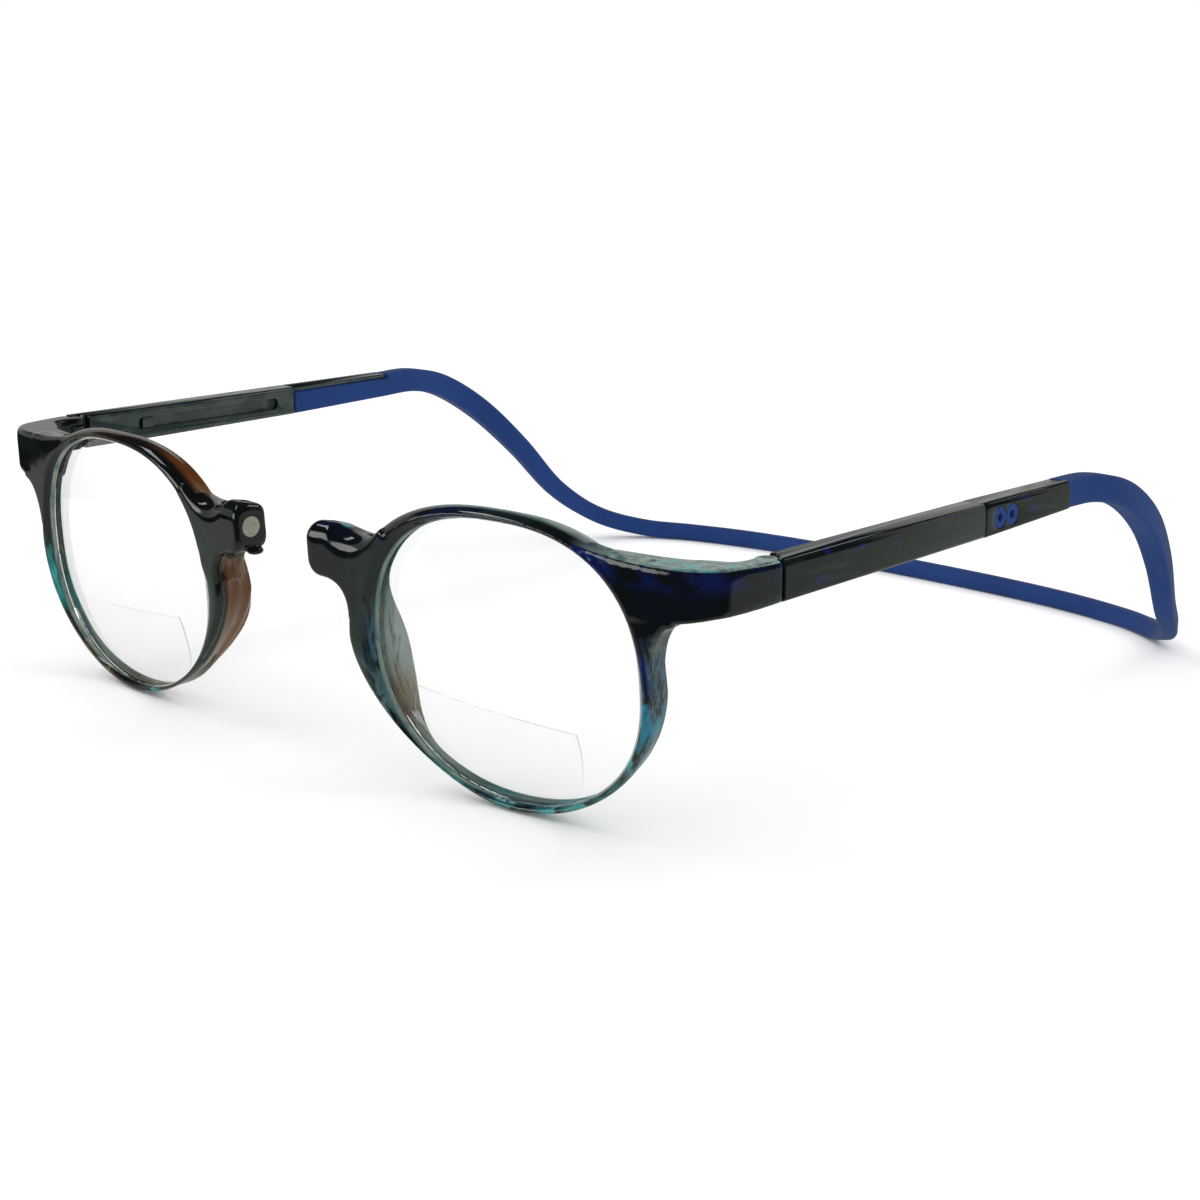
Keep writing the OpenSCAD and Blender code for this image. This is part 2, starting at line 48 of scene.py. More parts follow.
# Sizes in millimetres, the same as the solids'
# Lens opening: reach from its centre to four sides, and the bend of its quarters; the rim's width round it
OPEN_SIDE, OPEN_NOSE, OPEN_TOP, OPEN_LOW = 22.1, 22.4, 19.4, 18.3
OPEN_BEND = (2.46, 2.43, 2.07, 2.24)
FACE_TOP, FACE_LOW, FACE_SIDE, FACE_NOSE = 1.6, 1.8, 2.5, 4.9
RIM_BEND = (2.5, 2.5, 1.63, 1.98)
RIM_DEPTH, PAD_DEPTH, PAD_TAPER, DRAFT = 4.4, 3.2, 2.2, 1.3
PAD_MIDDLE, PAD_ABOVE, PAD_BELOW, PAD_LEAN, PAD_TURN = 181, 34, 40, 1.1, 7
SCOOP_V, SCOOP_R = 4.3, 1.7
EDGE_ROUND, RIM_TOUCH, SEAT_GAP = 0.6, 1.2, 0.05
# Lens and its reading segment
LENS_T, LENS_CURVE, LENS_SET, GROOVE, LEDGE = 2, 110, 0.35, 0.8, 0.3
SEGMENT_W, SEGMENT_DROP, SEGMENT_TURN = 29, 6, 3.5
# Half of the bridge, with magnet and key
LUG_H, LUG_D, LUG_Z, LUG_FRONT = 7.5, 5.6, 31.3, 1.45
LUG_DROP, LUG_FALL, LUG_ROUND, LUG_CORNER, ROUND_D = 2.3, 0.27, 2.3, 1.1, 2.4
ROOT_PHI, ROOT_TURN, ROOT_RISE = 141, 3, 0.5
MAGNET_D, MAGNET_L, MAGNET_Y, MAGNET_Z = 3, 3, 4.15, 31.7
KEY_L, KEY_W, KEY_H, KEY_Y, KEY_DROP, KEY_SLACK = 0.6, 2.8, 1.2, 3.55, 0.1, 0.12
# How far each half stands open, and where lens and temple stand
REST_OPEN = math.radians(3)
LENS_X, SEAM_Y, LENS_AHEAD = 41.4, 18, 15
WRAP, TILT = math.radians(5.3), math.radians(4.1)
TEMPLE_X, TEMPLE_IN, TEMPLE_Z, TEMPLE_W = 76.7, math.radians(1.4), 37.7, 4.2
# Temple, its hinge, tongue, window and stud
SLEEVE_H, SHELL_H, SHELL_END_H, SLEEVE_L, SHELL_L = 5.5, 4.8, 4.1, 44.9, 21.6
PIN_X, BARREL_D, BARREL_SLACK, EAR_H, SCREW_D = -2.9, 3.2, 0.15, 1.4, 1.2
TONGUE_X, TONGUE_Z, TONGUE_W, TONGUE_H, TONGUE_START = -2.15, -2.55, 1.6, 2.7, 10
WINDOW_H, WINDOW_START, WINDOW_L = 2, 12.6, 27.8
STUD_PITCH, STUD_D, SHELL_T = 3, 3.1, 1.6
# Headband
BAND_BACK, BAND_BOW, BAND_H, BAND_T = 132.3, 5.4, 3.1, 2.7
FLEX_X, SEAM_GAP = 50, 0.1
# What follows from these
LENS_Y = SEAM_Y - LENS_AHEAD
LENS_Z = (OPEN_LOW + FACE_LOW) * math.cos(TILT) - RIM_TOUCH * math.sin(TILT)
FLEX_Y = SEAM_Y + BAND_BACK - BAND_BOW
BAND_Z = BAND_H / 2
FRONT_Y = FLEX_Y + (LUG_FRONT - FLEX_Y) * math.cos(REST_OPEN) - FLEX_X * math.sin(REST_OPEN)
MIDDLE_Y = (FRONT_Y + SEAM_Y + BAND_BACK + BAND_T / 2) / 2
END_X = FLEX_X - FLEX_X * math.cos(REST_OPEN) + (FLEX_Y - LUG_FRONT) * math.sin(REST_OPEN)
END_Y = FLEX_Y - FLEX_X * math.sin(REST_OPEN) - (FLEX_Y - LUG_FRONT) * math.cos(REST_OPEN)
LUG_U = (END_X - LENS_X) * math.cos(WRAP) + (END_Y - LENS_Y) * math.sin(WRAP)
LUG_TOP = (LUG_Z + LUG_H / 2 - LENS_Z) / math.cos(TILT)
LUG_LOW = LUG_TOP - LUG_H / math.cos(TILT)
ROOT_U = -OPEN_NOSE - FACE_NOSE
SHELL_START = SLEEVE_L + SEAM_GAP
SHELL_END = SHELL_START + SHELL_L
STUD_Y = SHELL_START + 5
END_TOP = TEMPLE_Z - 0.1

# Sizes of the scene alone: rounding of the temples' upper outer edge, the shell's lip, the fine
# shapes of key, hinge and reading segment, and the grain at which the mouldings are rebuilt
TEMPLE_CROWN, LIP_T = (0.5, 1.7), 0.8
KEY_ROOT, EAR_DROP, SCREW_HEAD_H, SCREW_HEAD_D = 0.6, 0.15, 0.85, 1.95
SEGMENT_SHIFT, SEGMENT_CENTRE, SEGMENT_FREE = 1, 4.5, 0.3
COARSE, FINE = 0.2, 0.17
PAST = 1  # how far a cutter reaches past what it cuts
RIM_STEPS, LENS_STEPS, LENS_RINGS = 288, 192, 40

# Frames of the lens, of the closed bridge and of the temple, all of the left half
LENS = (Matrix.Translation((LENS_X, LENS_Y, LENS_Z)) @ Matrix.Rotation(WRAP, 4, "Z")
        @ Matrix.Rotation(TILT, 4, "X"))
BRIDGE = (Matrix.Translation((FLEX_X, FLEX_Y, 0)) @ Matrix.Rotation(REST_OPEN, 4, "Z")
          @ Matrix.Translation((-FLEX_X, -FLEX_Y, 0)))
TEMPLE = Matrix.Translation((TEMPLE_X, SEAM_Y, TEMPLE_Z)) @ Matrix.Rotation(TEMPLE_IN, 4, "Z")
PLAIN = Matrix.Identity(4)
SIDES = {"left": 1, "right": -1}


def ease(t):
    """A share from 0 to 1 that starts and ends softly."""
    t = max(0, min(1, t))
    return t * t * (3 - 2 * t)


def to_row(side, place=PLAIN):
    """From millimetres in a frame of the left half to metres in the row, mirrored for the right half."""
    return Matrix.Diagonal((side * MM, MM, MM, 1)) @ Matrix.Translation((0, -MIDDLE_Y, 0)) @ place


# Meshes
def make_piece(name, points, faces, side, place=PLAIN):
    """A closed mesh with its faces turned outward."""
    mesh = bpy.data.meshes.new(name)
    move = to_row(side, place)
    mesh.from_pydata([move @ Vector(p) for p in points], [], faces)
    made = bmesh.new()
    made.from_mesh(mesh)
    bmesh.ops.recalc_face_normals(made, faces=made.faces)
    made.to_mesh(mesh)
    made.free()
    piece = bpy.data.objects.new(name, mesh)
    bpy.context.scene.collection.objects.link(piece)
    return piece


def skin(rings, closed=False):
    """Points and faces of rings of equal length, capped at both ends or joined end to end."""
    count, spans = len(rings[0]), len(rings) if closed else len(rings) - 1
    total = len(rings) * count
    faces = [((i * count + j) % total, (i * count + (j + 1) % count) % total,
              ((i + 1) * count + (j + 1) % count) % total, ((i + 1) * count + j) % total)
             for i in range(spans) for j in range(count)]
    if not closed:
        faces += [tuple(range(count)), tuple(range(total - count, total))]
    return [p for ring in rings for p in ring], faces


def settle(piece):
    """Applies a piece's modifiers."""
    graph = bpy.context.evaluated_depsgraph_get()
    graph.update()
    mesh = bpy.data.meshes.new_from_object(piece.evaluated_get(graph))
    piece.modifiers.clear()
    old = piece.data
    piece.data = mesh
    bpy.data.meshes.remove(old)
    return piece


def combine(piece, other, operation="DIFFERENCE"):
    """Cuts the other piece out of this one, or adds it, and removes the other."""
    cut = piece.modifiers.new("cut", "BOOLEAN")
    cut.operation = operation
    cut.solver = "EXACT"
    cut.object = other
    settle(piece)
    bpy.data.objects.remove(other)
    return piece


def join(pieces):
    """One object of several meshes, whose closed shells may overlap."""
    made = bmesh.new()
    for piece in pieces:
        made.from_mesh(piece.data)
    made.to_mesh(pieces[0].data)
    made.free()
    for piece in pieces[1:]:
        bpy.data.objects.remove(piece)
    return pieces[0]


def melt(piece, voxel, smooth):
    """Runs a piece's shells together as one moulded surface."""
    remesh = piece.modifiers.new("melt", "REMESH")
    remesh.mode = "VOXEL"
    remesh.voxel_size = voxel * MM
    settle(piece)
    soften = piece.modifiers.new("soften", "SMOOTH")
    soften.factor = 0.5
    soften.iterations = smooth
    return settle(piece)


def shade(piece, angle):
    """Smooth shading, with edges sharper than an angle kept."""
    piece.data.shade_smooth()
    piece.data.set_sharp_from_angle(angle=math.radians(angle))
    return piece


def weld(piece, reach=0.004):
    """Runs points together that lie closer than the reach."""
    made = bmesh.new()
    made.from_mesh(piece.data)
    bmesh.ops.remove_doubles(made, verts=made.verts, dist=reach * MM)
    made.to_mesh(piece.data)
    made.free()
    return piece


def chamfer(piece, width):
    """Rounds the sharp edges of a piece."""
    weld(piece)
    bevel = piece.modifiers.new("edges", "BEVEL")
    bevel.width = width * MM
    bevel.segments = 2
    bevel.limit_method = "ANGLE"
    bevel.angle_limit = math.radians(40)
    settle(piece)
    return shade(weld(piece, 0.001), 35)


def cut_corners(outline):
    """Rounds an open outline by cutting its corners twice."""
    for _ in range(2):
        made = [tuple(a + (b - a) * share for a, b in zip(p, q)) for p, q in zip(outline, outline[1:])
                for share in (0.25, 0.75)]
        outline = [outline[0]] + made + [outline[-1]]
    return outline


def inset(outline, by):
    """An anticlockwise outline moved inward along its own normals."""
    moved = []
    for (ahead_x, ahead_y), (x, y), (after_x, after_y) in zip(
            outline[-1:] + outline[:-1], outline, outline[1:] + outline[:1]):
        dx, dy = after_x - ahead_x, after_y - ahead_y
        length = math.hypot(dx, dy) or 1
        moved.append((x - dy / length * by, y + dx / length * by))
    return moved


def round_levels(low, high, radius, crown=None):
    """Levels of a plate with rounded edges: (level, inset) from low to high."""
    wide, tall = crown or (radius, radius)
    turns = [math.pi / 2 * i / 4 for i in range(5)]
    lower = [(low + radius * (1 - math.cos(t)), radius * (1 - math.sin(t))) for t in turns]
    upper = [(high - tall * (1 - math.cos(t)), wide * (1 - math.sin(t))) for t in reversed(turns)]
    return lower + upper


# Outlines of the lens opening and of the rim
def bent(a, b, bend, phi):
    """Radius of a superellipse quarter in a direction."""
    return ((abs(math.cos(phi)) / a) ** bend + (abs(math.sin(phi)) / b) ** bend) ** (-1 / bend)


def quarter(phi):
    """Which quarter of a turn a direction is in."""
    return int(math.degrees(phi) % 360 // 90)


def opening(phi):
    """Radius of the lens opening."""
    side = OPEN_SIDE if math.cos(phi) > 0 else OPEN_NOSE
    upright = OPEN_TOP if math.sin(phi) > 0 else OPEN_LOW
    return bent(side, upright, OPEN_BEND[quarter(phi)], phi)


def rim_edge(phi):
    """Radius of the rim's outer edge."""
    side = OPEN_SIDE + FACE_SIDE if math.cos(phi) > 0 else OPEN_NOSE + FACE_NOSE
    upright = OPEN_TOP + FACE_TOP if math.sin(phi) > 0 else OPEN_LOW + FACE_LOW
    return bent(side, upright, RIM_BEND[quarter(phi)], phi)


def pad(phi):
    """Share of the nose pad in the rim's section: one at its middle, nothing off it."""
    off = math.degrees(phi) % 360 - PAD_MIDDLE
    share = off / (PAD_ABOVE if off < 0 else PAD_BELOW)
    return math.cos(math.pi / 2 * share) ** 2 if abs(share) < 1 else 0


def sag(r):
    """How far the curve of the lens falls back at a radius."""
    return r * r / (2 * LENS_CURVE)


def lens_front(r):
    """Depth of the lens's front face at a radius."""
    return sag(r) - LENS_SET - LEDGE


def crowned(phi):
    """How far the rim's front edge is crowned: not at the bottom, fully along the top."""
    return ease(math.sin(phi) / 0.35)


def draft(phi):
    """How much the rim's outer wall narrows toward the rear."""
    return DRAFT * abs(math.sin(phi)) * (1 - 0.6 * crowned(phi))


def rim_section(phi):
    """Section of the rim: (radius, depth) over the shown side and along the groove."""
    a, b, wing = opening(phi), rim_edge(phi), pad(phi)
    w, g, h = b - a, lens_front(a), lens_front(a + GROOVE)
    depth = RIM_DEPTH + PAD_DEPTH * wing
    deep = RIM_DEPTH + (PAD_DEPTH + PAD_LEAN) * pad(phi - math.radians(PAD_TURN))
    slope, full = draft(phi), crowned(phi)
    out = max(b - PAD_TAPER * wing - slope, a + 0.8)
    r = min(0.5, (out - a) / 3)
    flat = [(a + 0.42 * w, 0.2), (a + 0.6 * w, 0), (b - EDGE_ROUND * 0.8, 0), (b - 0.15, EDGE_ROUND * 0.6),
            (b, RIM_TOUCH), (b - 1.6 * wing - 0.5 * slope, 2.6 + wing), (out, depth - 1.5)]
    domed = [(a + 0.36 * w, 0.2), (a + 0.5 * w, 0.02), (a + 0.7 * w, 0.33), (a + 0.9 * w, 1.0),
             (b, 2.2), (b - 1.6 * wing - 0.3 * slope, 2.9 + wing), (out, depth - 1)]
    shown = [(a, 1.1), (a + 0.25 * w, 0.6)]
    shown += [(p + (u - p) * full, q + (v - q) * full) for (p, q), (u, v) in zip(flat, domed)]
    shown += [(out - 0.3 * r, depth - 0.3 * r), (out - r, depth), (a + r, deep), (a, deep - r)]
    groove = [(a, g + LENS_T + SEAT_GAP), (a + GROOVE, h + LENS_T + SEAT_GAP), (a + GROOVE, h - SEAT_GAP),
              (a, g - SEAT_GAP)]
    return cut_corners(shown) + groove


def on_ring(phi, r, y):
    return (r * math.cos(phi), y, r * math.sin(phi))


# Front halves
def round_angles(steps):
    return [2 * math.pi * i / steps for i in range(steps)]


def rim(side):
    rings = [[on_ring(phi, *p) for p in rim_section(phi)] for phi in round_angles(RIM_STEPS)]
    return make_piece("rim", *skin(rings, True), side, LENS)


def curve(a, b, c):
    """Points along a bend from a to c, drawn toward b."""
    return [tuple((1 - t) ** 2 * p + 2 * t * (1 - t) * q + t * t * r for p, q, r in zip(a, b, c))
            for t in [i / 12 for i in range(13)]]


def arc(x, z, r, start, end):
    """Points on a circle between two angles in degrees."""
    angles = [math.radians(start + (end - start) * i / 10) for i in range(11)]
    return [(x + r * math.cos(a), z + r * math.sin(a)) for a in angles]


def lug_outline(y):
    """Outline of the bridge lug, run into the rim: flat in front, full behind its rounding."""
    full = math.sqrt(1 - (1 - min(1, y / ROUND_D)) ** 2)
    behind = max(0, y - ROUND_D)
    top = LUG_TOP - LUG_DROP * (1 - full) - LUG_FALL * behind
    phi = math.radians(ROOT_PHI + ROOT_TURN * behind)
    edge = rim_edge(phi) - 0.2 - draft(phi) * max(0, min(1, (y - RIM_TOUCH) / 1.7))
    k = 0.3 + full * (LUG_CORNER - 0.3)
    corner = [(x, top - k + (z - top) * k / LUG_CORNER)
              for x, z in arc(LUG_U + LUG_CORNER, top, LUG_CORNER, 90, 180)]
    low = curve((LUG_U + 2.8, LUG_LOW), (ROOT_U + 0.5, LUG_LOW - 0.3), (ROOT_U + 0.2, 2.2))
    high = curve((edge * math.cos(phi), edge * math.sin(phi)),
                 (ROOT_U + 1.9 + 0.4 * full, top - 4.1 + 1.5 * full + ROOT_RISE * behind),
                 (LUG_U + 4, top + 0.1 * (1 - full)))
    return (corner + arc(LUG_U + LUG_ROUND, LUG_LOW + LUG_ROUND, LUG_ROUND, 180, 270) + low
            + [(ROOT_U + 3, 2.2), ((edge - 2.4) * math.cos(phi), (edge - 2.4) * math.sin(phi))] + high)


def lug(side):
    layers = [(0, 0.5), (0.06, 0.32), (0.2, 0.15), (0.4, 0.04), (0.6, 0), (0.9, 0), (1.3, 0), (1.8, 0),
              (ROUND_D, 0), (3.4, 0), (LUG_D - 0.8, 0), (LUG_D - 0.5, 0.08), (LUG_D - 0.2, 0.3), (LUG_D, 0.8)]
    skew = math.tan(WRAP - REST_OPEN)
    rings = [[(x + y * skew, y, z) for x, z in inset(lug_outline(y), by)] for y, by in layers]
    return make_piece("lug", *skin(rings), side, LENS)


def ridge(side):
    """Ridge along the rear of one lug's top."""
    top, rear = LUG_Z + LUG_H / 2 + 0.1, LUG_FRONT + LUG_D
    outline = [(1.2, top - 2), (9.4, top - 2.8), (8.4, top - 2), (6.6, top - 1.2), (4.4, top - 0.75),
               (2.6, top - 1), (1.2, top - 1.5)]
    return plate_along_y("ridge", outline, rear - 2.1, rear - 0.3, 0.2, side, BRIDGE)


def ball(name, centre, radii, side, place):
    rings = []
    for a in [math.pi * (i + 0.5) / 24 for i in range(24)]:
        rings.append([(centre[0] + radii[0] * math.sin(a) * math.cos(b),
                       centre[1] + radii[1] * math.sin(a) * math.sin(b),
                       centre[2] + radii[2] * math.cos(a)) for b in round_angles(40)])
    return make_piece(name, *skin(rings), side, place)


def plate_along_y(name, outline, y0, y1, radius, side, place):
    """A plate with rounded edges, whose outline is given across and up."""
    rings = [[(x, level, z) for x, z in inset(outline, by)] for level, by in round_levels(y0, y1, radius)]
    return make_piece(name, *skin(rings), side, place)


def seam_point(x, y):
    """A place in the temple's plan."""
    moved = TEMPLE @ Vector((x, y, 0))
    return (moved.x, moved.y)


def front_point(u, back):
    """A place in the front's plan: along the lens and behind it."""
    return (LENS_X + u * math.cos(WRAP) - back * math.sin(WRAP),
            LENS_Y + u * math.sin(WRAP) + back * math.cos(WRAP))


def end_plan():
    """Plan of the end piece: along the front, round the corner and back to the seam."""
    corner = TEMPLE_X - LENS_X - 1.2
    outside = [front_point(14, -0.7), front_point(28.5, -0.7), front_point(corner - 2.8, 0.3),
               front_point(corner - 0.9, 1.6), front_point(corner + 0.05, 2.6), seam_point(-0.65, -5),
               seam_point(0, -SEAM_GAP)]
    inside = [seam_point(-TEMPLE_W, -SEAM_GAP), seam_point(-TEMPLE_W, -4.5), front_point(corner - 5, 6.8),
              front_point(corner - 8.5, 4.7), front_point(14, 4.3)]
    return cut_corners(outside) + cut_corners(inside)


def end_piece(side):
    deeper = 2.2
    low, high = TEMPLE_Z - SLEEVE_H - deeper, END_TOP
    plan = end_plan()
    rings = []
    for level, by in round_levels(low, high, 0.5, TEMPLE_CROWN):
        share = (level - low) / (high - low)
        ring = []
        for (x0, y0), (x, y) in zip(plan, inset(plan, by)):
            if y0 > SEAM_Y - 1:  # the end face at the seam stays flat
                x, y = x0 + (by if x0 < TEMPLE_X - 2 else -by), y0
            lean = math.tan(TILT) * max(0, min(1, (SEAM_Y - 9 - y) / 6))
            out = max(0, min(1, (x - LENS_X - 26) / 7))
            behind = max(0, min(1, (y - LENS_Y - 4) / (LENS_AHEAD - 4)))
            rise = deeper * (behind + (1 - behind) * out * 0.6)
            ring.append((x, y - (level - low) * lean, level + (1 - share) * rise))
        rings.append(ring)
    return make_piece("end", *skin(rings), side)


def web(side):
    """The web under the end piece, arched."""
    r, h, x, z = 3.6, 7, OPEN_SIDE + FACE_SIDE - 0.1, 9.9
    turns = [math.radians(a) for a in range(0, 91, 6)]
    arch = [(x + r - r * math.cos(a), z - h + h * math.sin(a)) for a in turns]
    outline = [(x - 3, z - h)] + arch + [(x + r, z + 2), (x - 3, z + 2)]
    return plate_along_y("web", outline, 0.1, RIM_DEPTH - 0.4, 0.5, side, LENS)


def shoulder(side):
    """The shoulder that falls from the end piece onto the rim."""
    top = (END_TOP - LENS_Z) / math.cos(TILT)
    start, length, height = 10, 14, 1.9
    outline = [(start, top - 2), (start + length, top - 2)]
    outline += [(start + length * s, top + height * (1 - s) ** 2) for s in [1 - 0.05 * i for i in range(21)]]
    return plate_along_y("shoulder", outline, 0.3, RIM_DEPTH - 1, 0.5, side, LENS)


def rod(name, base, direction, length, d, side, place, steps=48):
    """A cylinder from a base point along a direction."""
    turn = Vector(direction).to_track_quat("Z", "Y").to_matrix()
    rings = [[tuple(Vector(base) + turn @ Vector((d / 2 * math.cos(2 * math.pi * k / steps),
                                                  d / 2 * math.sin(2 * math.pi * k / steps), z)))
              for k in range(steps)] for z in (0, length)]
    return make_piece(name, *skin(rings), side, place)


def barrel(name, z0, z1, d, side):
    """A cylinder round the hinge's pin."""
    return rod(name, (PIN_X, 0, z0), (0, 0, 1), z1 - z0, d, side, TEMPLE)


def opening_cutter(side):
    """Clears the lens opening and its groove from front to rear."""
    reach = GROOVE + 0.5
    rings = [[on_ring(phi, opening(phi) + reach, y) for phi in round_angles(RIM_STEPS)] for y in (-3, 17)]
    return make_piece("cutter", *skin(rings), side, LENS)


def block(name, low, high, side, place=TEMPLE):
    corners = ((low[0], low[1]), (high[0], low[1]), (high[0], high[1]), (low[0], high[1]))
    rings = [[(x, y, z) for x, y in corners] for z in (low[2], high[2])]
    return make_piece(name, *skin(rings), side, place)


def key(side):
    """The small key below the magnet, rooted in its lug."""
    middle = (KEY_ROOT - KEY_L / 2, KEY_Y + KEY_W / 2, LUG_Z - LUG_H / 2 - KEY_DROP + KEY_H / 2)
    return ball("key", middle, (KEY_L / 2 + KEY_ROOT, KEY_W / 2, KEY_H / 2), side, BRIDGE)


def notch_cutter(side):
    """Room for the key in the other lug."""
    low = LUG_Z - LUG_H / 2
    return block("cutter", (-PAST, KEY_Y - KEY_SLACK, low - PAST),
                 (KEY_L + KEY_SLACK, KEY_Y + KEY_W + KEY_SLACK, low + KEY_H - KEY_DROP + KEY_SLACK),
                 side, BRIDGE)


def crease(piece, side):
    """Presses the crease between front and nose pad into the moulding."""
    place = to_row(side, LENS)
    back = place.inverted()
    low, high, nose = -13, 7.5, -18
    for vertex in piece.data.vertices:
        u, y, v = back @ vertex.co
        if u > nose or not low < v < high:
            continue
        phi = math.atan2(v, u)
        line = 1.75 - 0.10 * max(0, -v)
        ends = ease((high - v) / 2.5) * ease((v - low) / 4)
        depth = 0.42 * math.exp(-((y - line) / 0.28) ** 2) * ends
        swell = 0.35 * math.exp(-((y - line - 2.4) / 1.3) ** 2) * pad(phi)
        if math.hypot(u, v) > opening(phi) + 1.6:
            share = 1 - (depth - swell) / math.hypot(u, v)
            vertex.co = place @ Vector((u * share, y, v * share))


def front(word):
    side = SIDES[word]
    parts = [lug(side), end_piece(side), web(side), shoulder(side)]
    if side > 0:
        parts.append(ridge(side))
    body = melt(join(parts), COARSE, 3)
    body = combine(body, opening_cutter(side))
    body = combine(body, barrel("cutter", -SLEEVE_H + EAR_H, -EAR_H, BARREL_D + 2 * BARREL_SLACK, side))
    body = join([body, rim(side), barrel("ear", -EAR_H, -EAR_DROP, BARREL_D, side),
                 barrel("ear", -SLEEVE_H, -SLEEVE_H + EAR_H, BARREL_D, side)])
    if side < 0:
        body = join([body, key(side)])
    body = melt(body, FINE, 8)
    crease(body, side)
    body = combine(body, ball("scoop", (ROOT_U - 0.7, 1.9, SCOOP_V), (SCOOP_R, SCOOP_R, SCOOP_R * 1.5),
                              side, LENS))
    body = melt(body, FINE, 6)
    body = combine(body, rod("cutter", (-PAST, MAGNET_Y, MAGNET_Z), (1, 0, 0), MAGNET_L + PAST,
                             MAGNET_D + 0.1, side, BRIDGE))
    body = combine(body, barrel("cutter", -SLEEVE_H - PAST, PAST, SCREW_D, side))
    body = combine(body, barrel("cutter", -SCREW_HEAD_H, PAST, SCREW_HEAD_D, side))
    if side > 0:
        body = combine(body, notch_cutter(side))
    body.name = "moulded_front_" + word
    shade(body, 40)
    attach(body, "front_" + word)
    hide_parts("front_" + word)
    return body


# Lenses
def lens_face(base):
    """Rings of one face of the lens, from its middle to its edge in the groove."""
    rings = []
    for s in [i / LENS_RINGS for i in range(1, LENS_RINGS + 1)]:
        reach = [(phi, (opening(phi) + GROOVE - SEAT_GAP) * s) for phi in round_angles(LENS_STEPS)]
        rings.append([on_ring(phi, r, base + sag(r)) for phi, r in reach])
    return rings


def segment(side):
    """The reading segment: straight along its top, round below, ending at the rim, its back in the lens."""
    turn, r, centre = math.radians(SEGMENT_TURN), SEGMENT_W / 2, SEGMENT_DROP + SEGMENT_CENTRE
    start = math.asin((SEGMENT_DROP - centre) / r)
    half = r * math.cos(start)
    angles = [start + (math.pi - 2 * start) * i / 64 for i in range(65)]
    outline = [(r * math.cos(a), centre + r * math.sin(a)) for a in angles]
    outline += [(half * (i / 16 - 1), SEGMENT_DROP) for i in range(1, 32)]
    kept = []
    for across, down in outline:
        x = -SEGMENT_SHIFT + across * math.cos(turn) - down * math.sin(turn)
        z = -across * math.sin(turn) - down * math.cos(turn)
        share = min(1, (opening(math.atan2(z, x)) - SEGMENT_FREE) / math.hypot(x, z))
        kept.append((x * share, z * share))
    cx = sum(p[0] for p in kept) / len(kept)
    cz = sum(p[1] for p in kept) / len(kept)
    base = lens_front(0)

    def level(s, back):
        ring = []
        for x, z in kept:
            px, pz = cx + (x - cx) * s, cz + (z - cz) * s
            ledge = LEDGE * (0.04 + 0.22 * ease((pz + 16) / 9))
            ring.append((px, base + sag(math.hypot(px, pz)) + (LENS_T / 2 if back else -ledge), pz))
        return ring

    shares = [i / 16 for i in range(1, 17)]
    rings = [level(s, False) for s in shares] + [level(s, True) for s in reversed(shares)]
    return make_piece("segment", *skin(rings), side, LENS)


def lens(word):
    side = SIDES[word]
    base = lens_front(0)
    body = make_piece("lens", *skin(lens_face(base) + lens_face(base + LENS_T)[::-1]), side, LENS)
    combine(body, segment(side), "UNION")
    back = to_row(side, LENS).inverted()
    raised = []
    for vertex in body.data.vertices:
        u, y, v = back @ vertex.co
        raised.append(1.0 if y < lens_front(math.hypot(u, v)) - 0.006 else 0.0)
    mark(body, "segment", "FLOAT", raised)
    body.name = "bifocal_lens_" + word
    shade(body, 25)
    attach(body, "front_" + word)
    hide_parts("lens_" + word)
    return body


# Temples
def bar_ring(y, x0, x1, z0, z1, r, crown=None, steps=6):
    """A rounded section across a bar; its upper outer corner may be rounded wider and taller."""
    wide, tall = crown or (r, r)
    corners = ((x1 - wide, z1 - tall, 0, wide, tall), (x0 + r, z1 - r, 90, r, r), (x0 + r, z0 + r, 180, r, r),
               (x1 - r, z0 + r, 270, r, r))
    return [(cx + wide * math.cos(math.radians(start + 90 * k / steps)), y,
             cz + tall * math.sin(math.radians(start + 90 * k / steps)))
            for cx, cz, start, wide, tall in corners for k in range(steps + 1)]


def taper(y, y0, y1, a, b):
    return a + (b - a) * (y - y0) / (y1 - y0)


def pill_cutter(y0, y1, h, x1, side):
    """A slot with round ends, cut into the inner wall of the temple."""
    r = h / 2
    turns = [math.radians(a) for a in range(0, 181, 10)]
    outline = [(y1 + r * math.sin(a), TONGUE_Z + r * math.cos(a)) for a in turns]
    outline += [(y0 - r * math.sin(a), TONGUE_Z - r * math.cos(a)) for a in turns]
    rings = [[(x, y, z) for y, z in outline] for x in (-TEMPLE_W - PAST, x1)]
    return make_piece("cutter", *skin(rings), side, TEMPLE)


def tongue_block(name, y0, y1, slack, side):
    """A block of the tongue's section, with slack all round it."""
    return block(name, (TONGUE_X - TONGUE_W / 2 - slack, y0, TONGUE_Z - TONGUE_H / 2 - slack),
                 (TONGUE_X + TONGUE_W / 2 + slack, y1, TONGUE_Z + TONGUE_H / 2 + slack), side)


